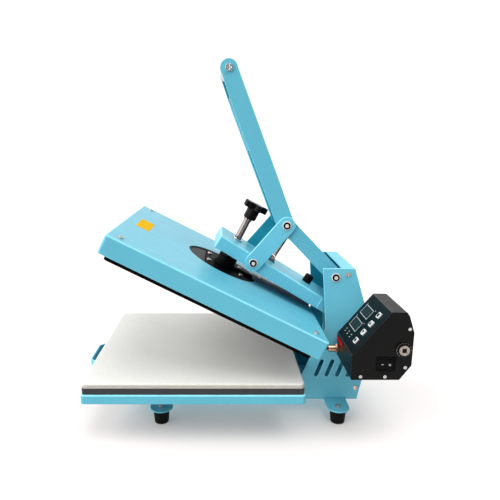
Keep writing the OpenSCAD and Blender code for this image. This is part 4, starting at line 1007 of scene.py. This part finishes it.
def make_rocker_marks():
    """An off ring and an on bar, printed on the rocker's two faces."""
    low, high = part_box("switch_rocker")
    data = frame["nodes"]["switch_rocker"].data
    tree = BVHTree.FromPolygons([v.co for v in data.vertices], [f.vertices for f in data.polygons])
    bar = flat_shapes([bar_shape(ROCKER_BAR_HALF_X, ROCKER_BAR_HALF_Y)], 0, SIGN_T, PRINT_EASE)
    ring = ring_mesh(ROCKER_RING_INNER_R, ROCKER_RING_OUTER_R, 0, SIGN_T)
    up = Vector((0, 0, 1))
    for name, mesh, share in (("rocker_bar", bar, ROCKER_BAR_SHARE),
                              ("rocker_ring", ring, ROCKER_RING_SHARE)):
        x = low.x + share * (high.x - low.x)
        start = Vector((x, low.y - RAY_START, (low.z + high.z) / 2))
        point, out = tree.ray_cast(start, Vector((0, 1, 0)))[:2]
        place = axes_frame(point, up.cross(out), up, out)
        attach(add_piece(name, mesh, "mark_light", place), BODY_OF["switch_rocker"])


# Studio

# Levels of the studio round the press
BEHIND_LEVEL = 1.06
FRONT_LEVEL = 0.16
RIGHT_SHARE = 0.12
LEFT_SHARE = 1.15
TOP_LEVEL = 0.9
BELOW_LEVEL = 0.6
# The backdrop is plain white behind the press from every side
BACKDROP_LEVEL = 1.06
# Where along its axis each change of level starts and ends, on a sphere of radius 1
DEPTH_SPAN = (-0.3, 0.45)
RIGHT_SPAN = (0.55, 0.75)
LEFT_SPAN = (-0.9, -0.3)
TOP_SPAN = (0.35, 0.75)
BELOW_SPAN = (0, -0.3)
# Where each soft light comes from, its power and its width in degrees
SOFT_LIGHTS = {
    "overhead": ((0.22, -0.3, 1), 1.5, 45),
    "left": ((-1, -0.36, 0.42), 3.8, 78),
    "right_front": ((0.5, -0.9, 0.35), 0.25, 60),
}
WHITE = (1, 1, 1, 1)
FLOOR_HALF = 6
FLOOR_GLOW = 0.19


def ramp(tree, value, span, low, high):
    """Goes smoothly from low to high as a value goes over a span."""
    node = tree.nodes.new("ShaderNodeMapRange")
    node.interpolation_type = "SMOOTHSTEP"
    start, end = span
    for socket, number in (("From Min", start), ("From Max", end), ("To Min", low),
                           ("To Max", high)):
        node.inputs[socket].default_value = number
    tree.links.new(value, node.inputs["Value"])
    return node.outputs["Result"]


def product(tree, first, second):
    node = tree.nodes.new("ShaderNodeMath")
    node.operation = "MULTIPLY"
    tree.links.new(first, node.inputs[0])
    tree.links.new(second, node.inputs[1])
    return node.outputs["Value"]


def make_world():
    """A white studio that is brighter on the left, and dimmer on the right and in front."""
    world = bpy.data.worlds.new("studio")
    world.use_nodes = True
    tree = world.node_tree
    axes = tree.nodes.new("ShaderNodeSeparateXYZ")
    coords = tree.nodes.new("ShaderNodeTexCoord").outputs["Generated"]
    tree.links.new(coords, axes.inputs["Vector"])
    x, y, z = axes.outputs
    depth = ramp(tree, y, DEPTH_SPAN, FRONT_LEVEL, BEHIND_LEVEL)
    right = ramp(tree, x, RIGHT_SPAN, 1, RIGHT_SHARE)
    left = ramp(tree, x, LEFT_SPAN, LEFT_SHARE, 1)
    strength = product(tree, depth, product(tree, left, right))
    above = ramp(tree, z, TOP_SPAN, 0, 1)
    below = ramp(tree, z, BELOW_SPAN, 0, 1)
    seen = tree.nodes.new("ShaderNodeLightPath").outputs["Is Camera Ray"]
    for share, level in ((above, TOP_LEVEL), (below, BELOW_LEVEL), (seen, BACKDROP_LEVEL)):
        mix = tree.nodes.new("ShaderNodeMix")
        tree.links.new(share, mix.inputs["Factor"])
        tree.links.new(strength, mix.inputs["A"])
        mix.inputs["B"].default_value = level
        strength = mix.outputs["Result"]
    background = tree.nodes["Background"]
    tree.links.new(strength, background.inputs["Strength"])
    background.inputs["Color"].default_value = WHITE
    bpy.context.scene.world = world


def make_soft_lights():
    for name, (origin, power, span) in SOFT_LIGHTS.items():
        data = bpy.data.lights.new(name, "SUN")
        data.energy = power
        data.angle = math.radians(span)
        light = bpy.data.objects.new(name, data)
        light.rotation_euler = Vector(origin).to_track_quat("Z", "Y").to_euler()
        bpy.context.scene.collection.objects.link(light)


def make_floor():
    mesh = bmesh.new()
    mesh.faces.new([mesh.verts.new((x, y, 0)) for x, y in bar_shape(FLOOR_HALF, FLOOR_HALF)])
    data = bpy.data.meshes.new("floor")
    mesh.to_mesh(data)
    mesh.free()
    data.materials.append(finish("pale_floor", (211, 206, 204), 0.7, tone=0.005, patch=400, grain=4,
                                 relief=0.01, emission_color=WHITE, emission_strength=FLOOR_GLOW))
    floor = bpy.data.objects.new("floor", data)
    floor.visible_diffuse = False
    bpy.context.scene.collection.objects.link(floor)


dress_nodes()
dress_sheet_metal()
make_pad()
make_spring()
make_lead()
make_knob()
bolt_rings("elbow_rings", "elbow_bolt", "lever")
bolt_rings("link_rings", "link_bolts", "link")
bolt_rings("pivot_rings", "lever_pivot_bolt", "frame")
make_head_sticker()
make_box_strip()
make_window_lines()
make_key_signs()
make_rocker_marks()
make_socket_trim()
make_world()
make_soft_lights()
bpy.context.scene.view_settings.view_transform = "Standard"
make_floor()
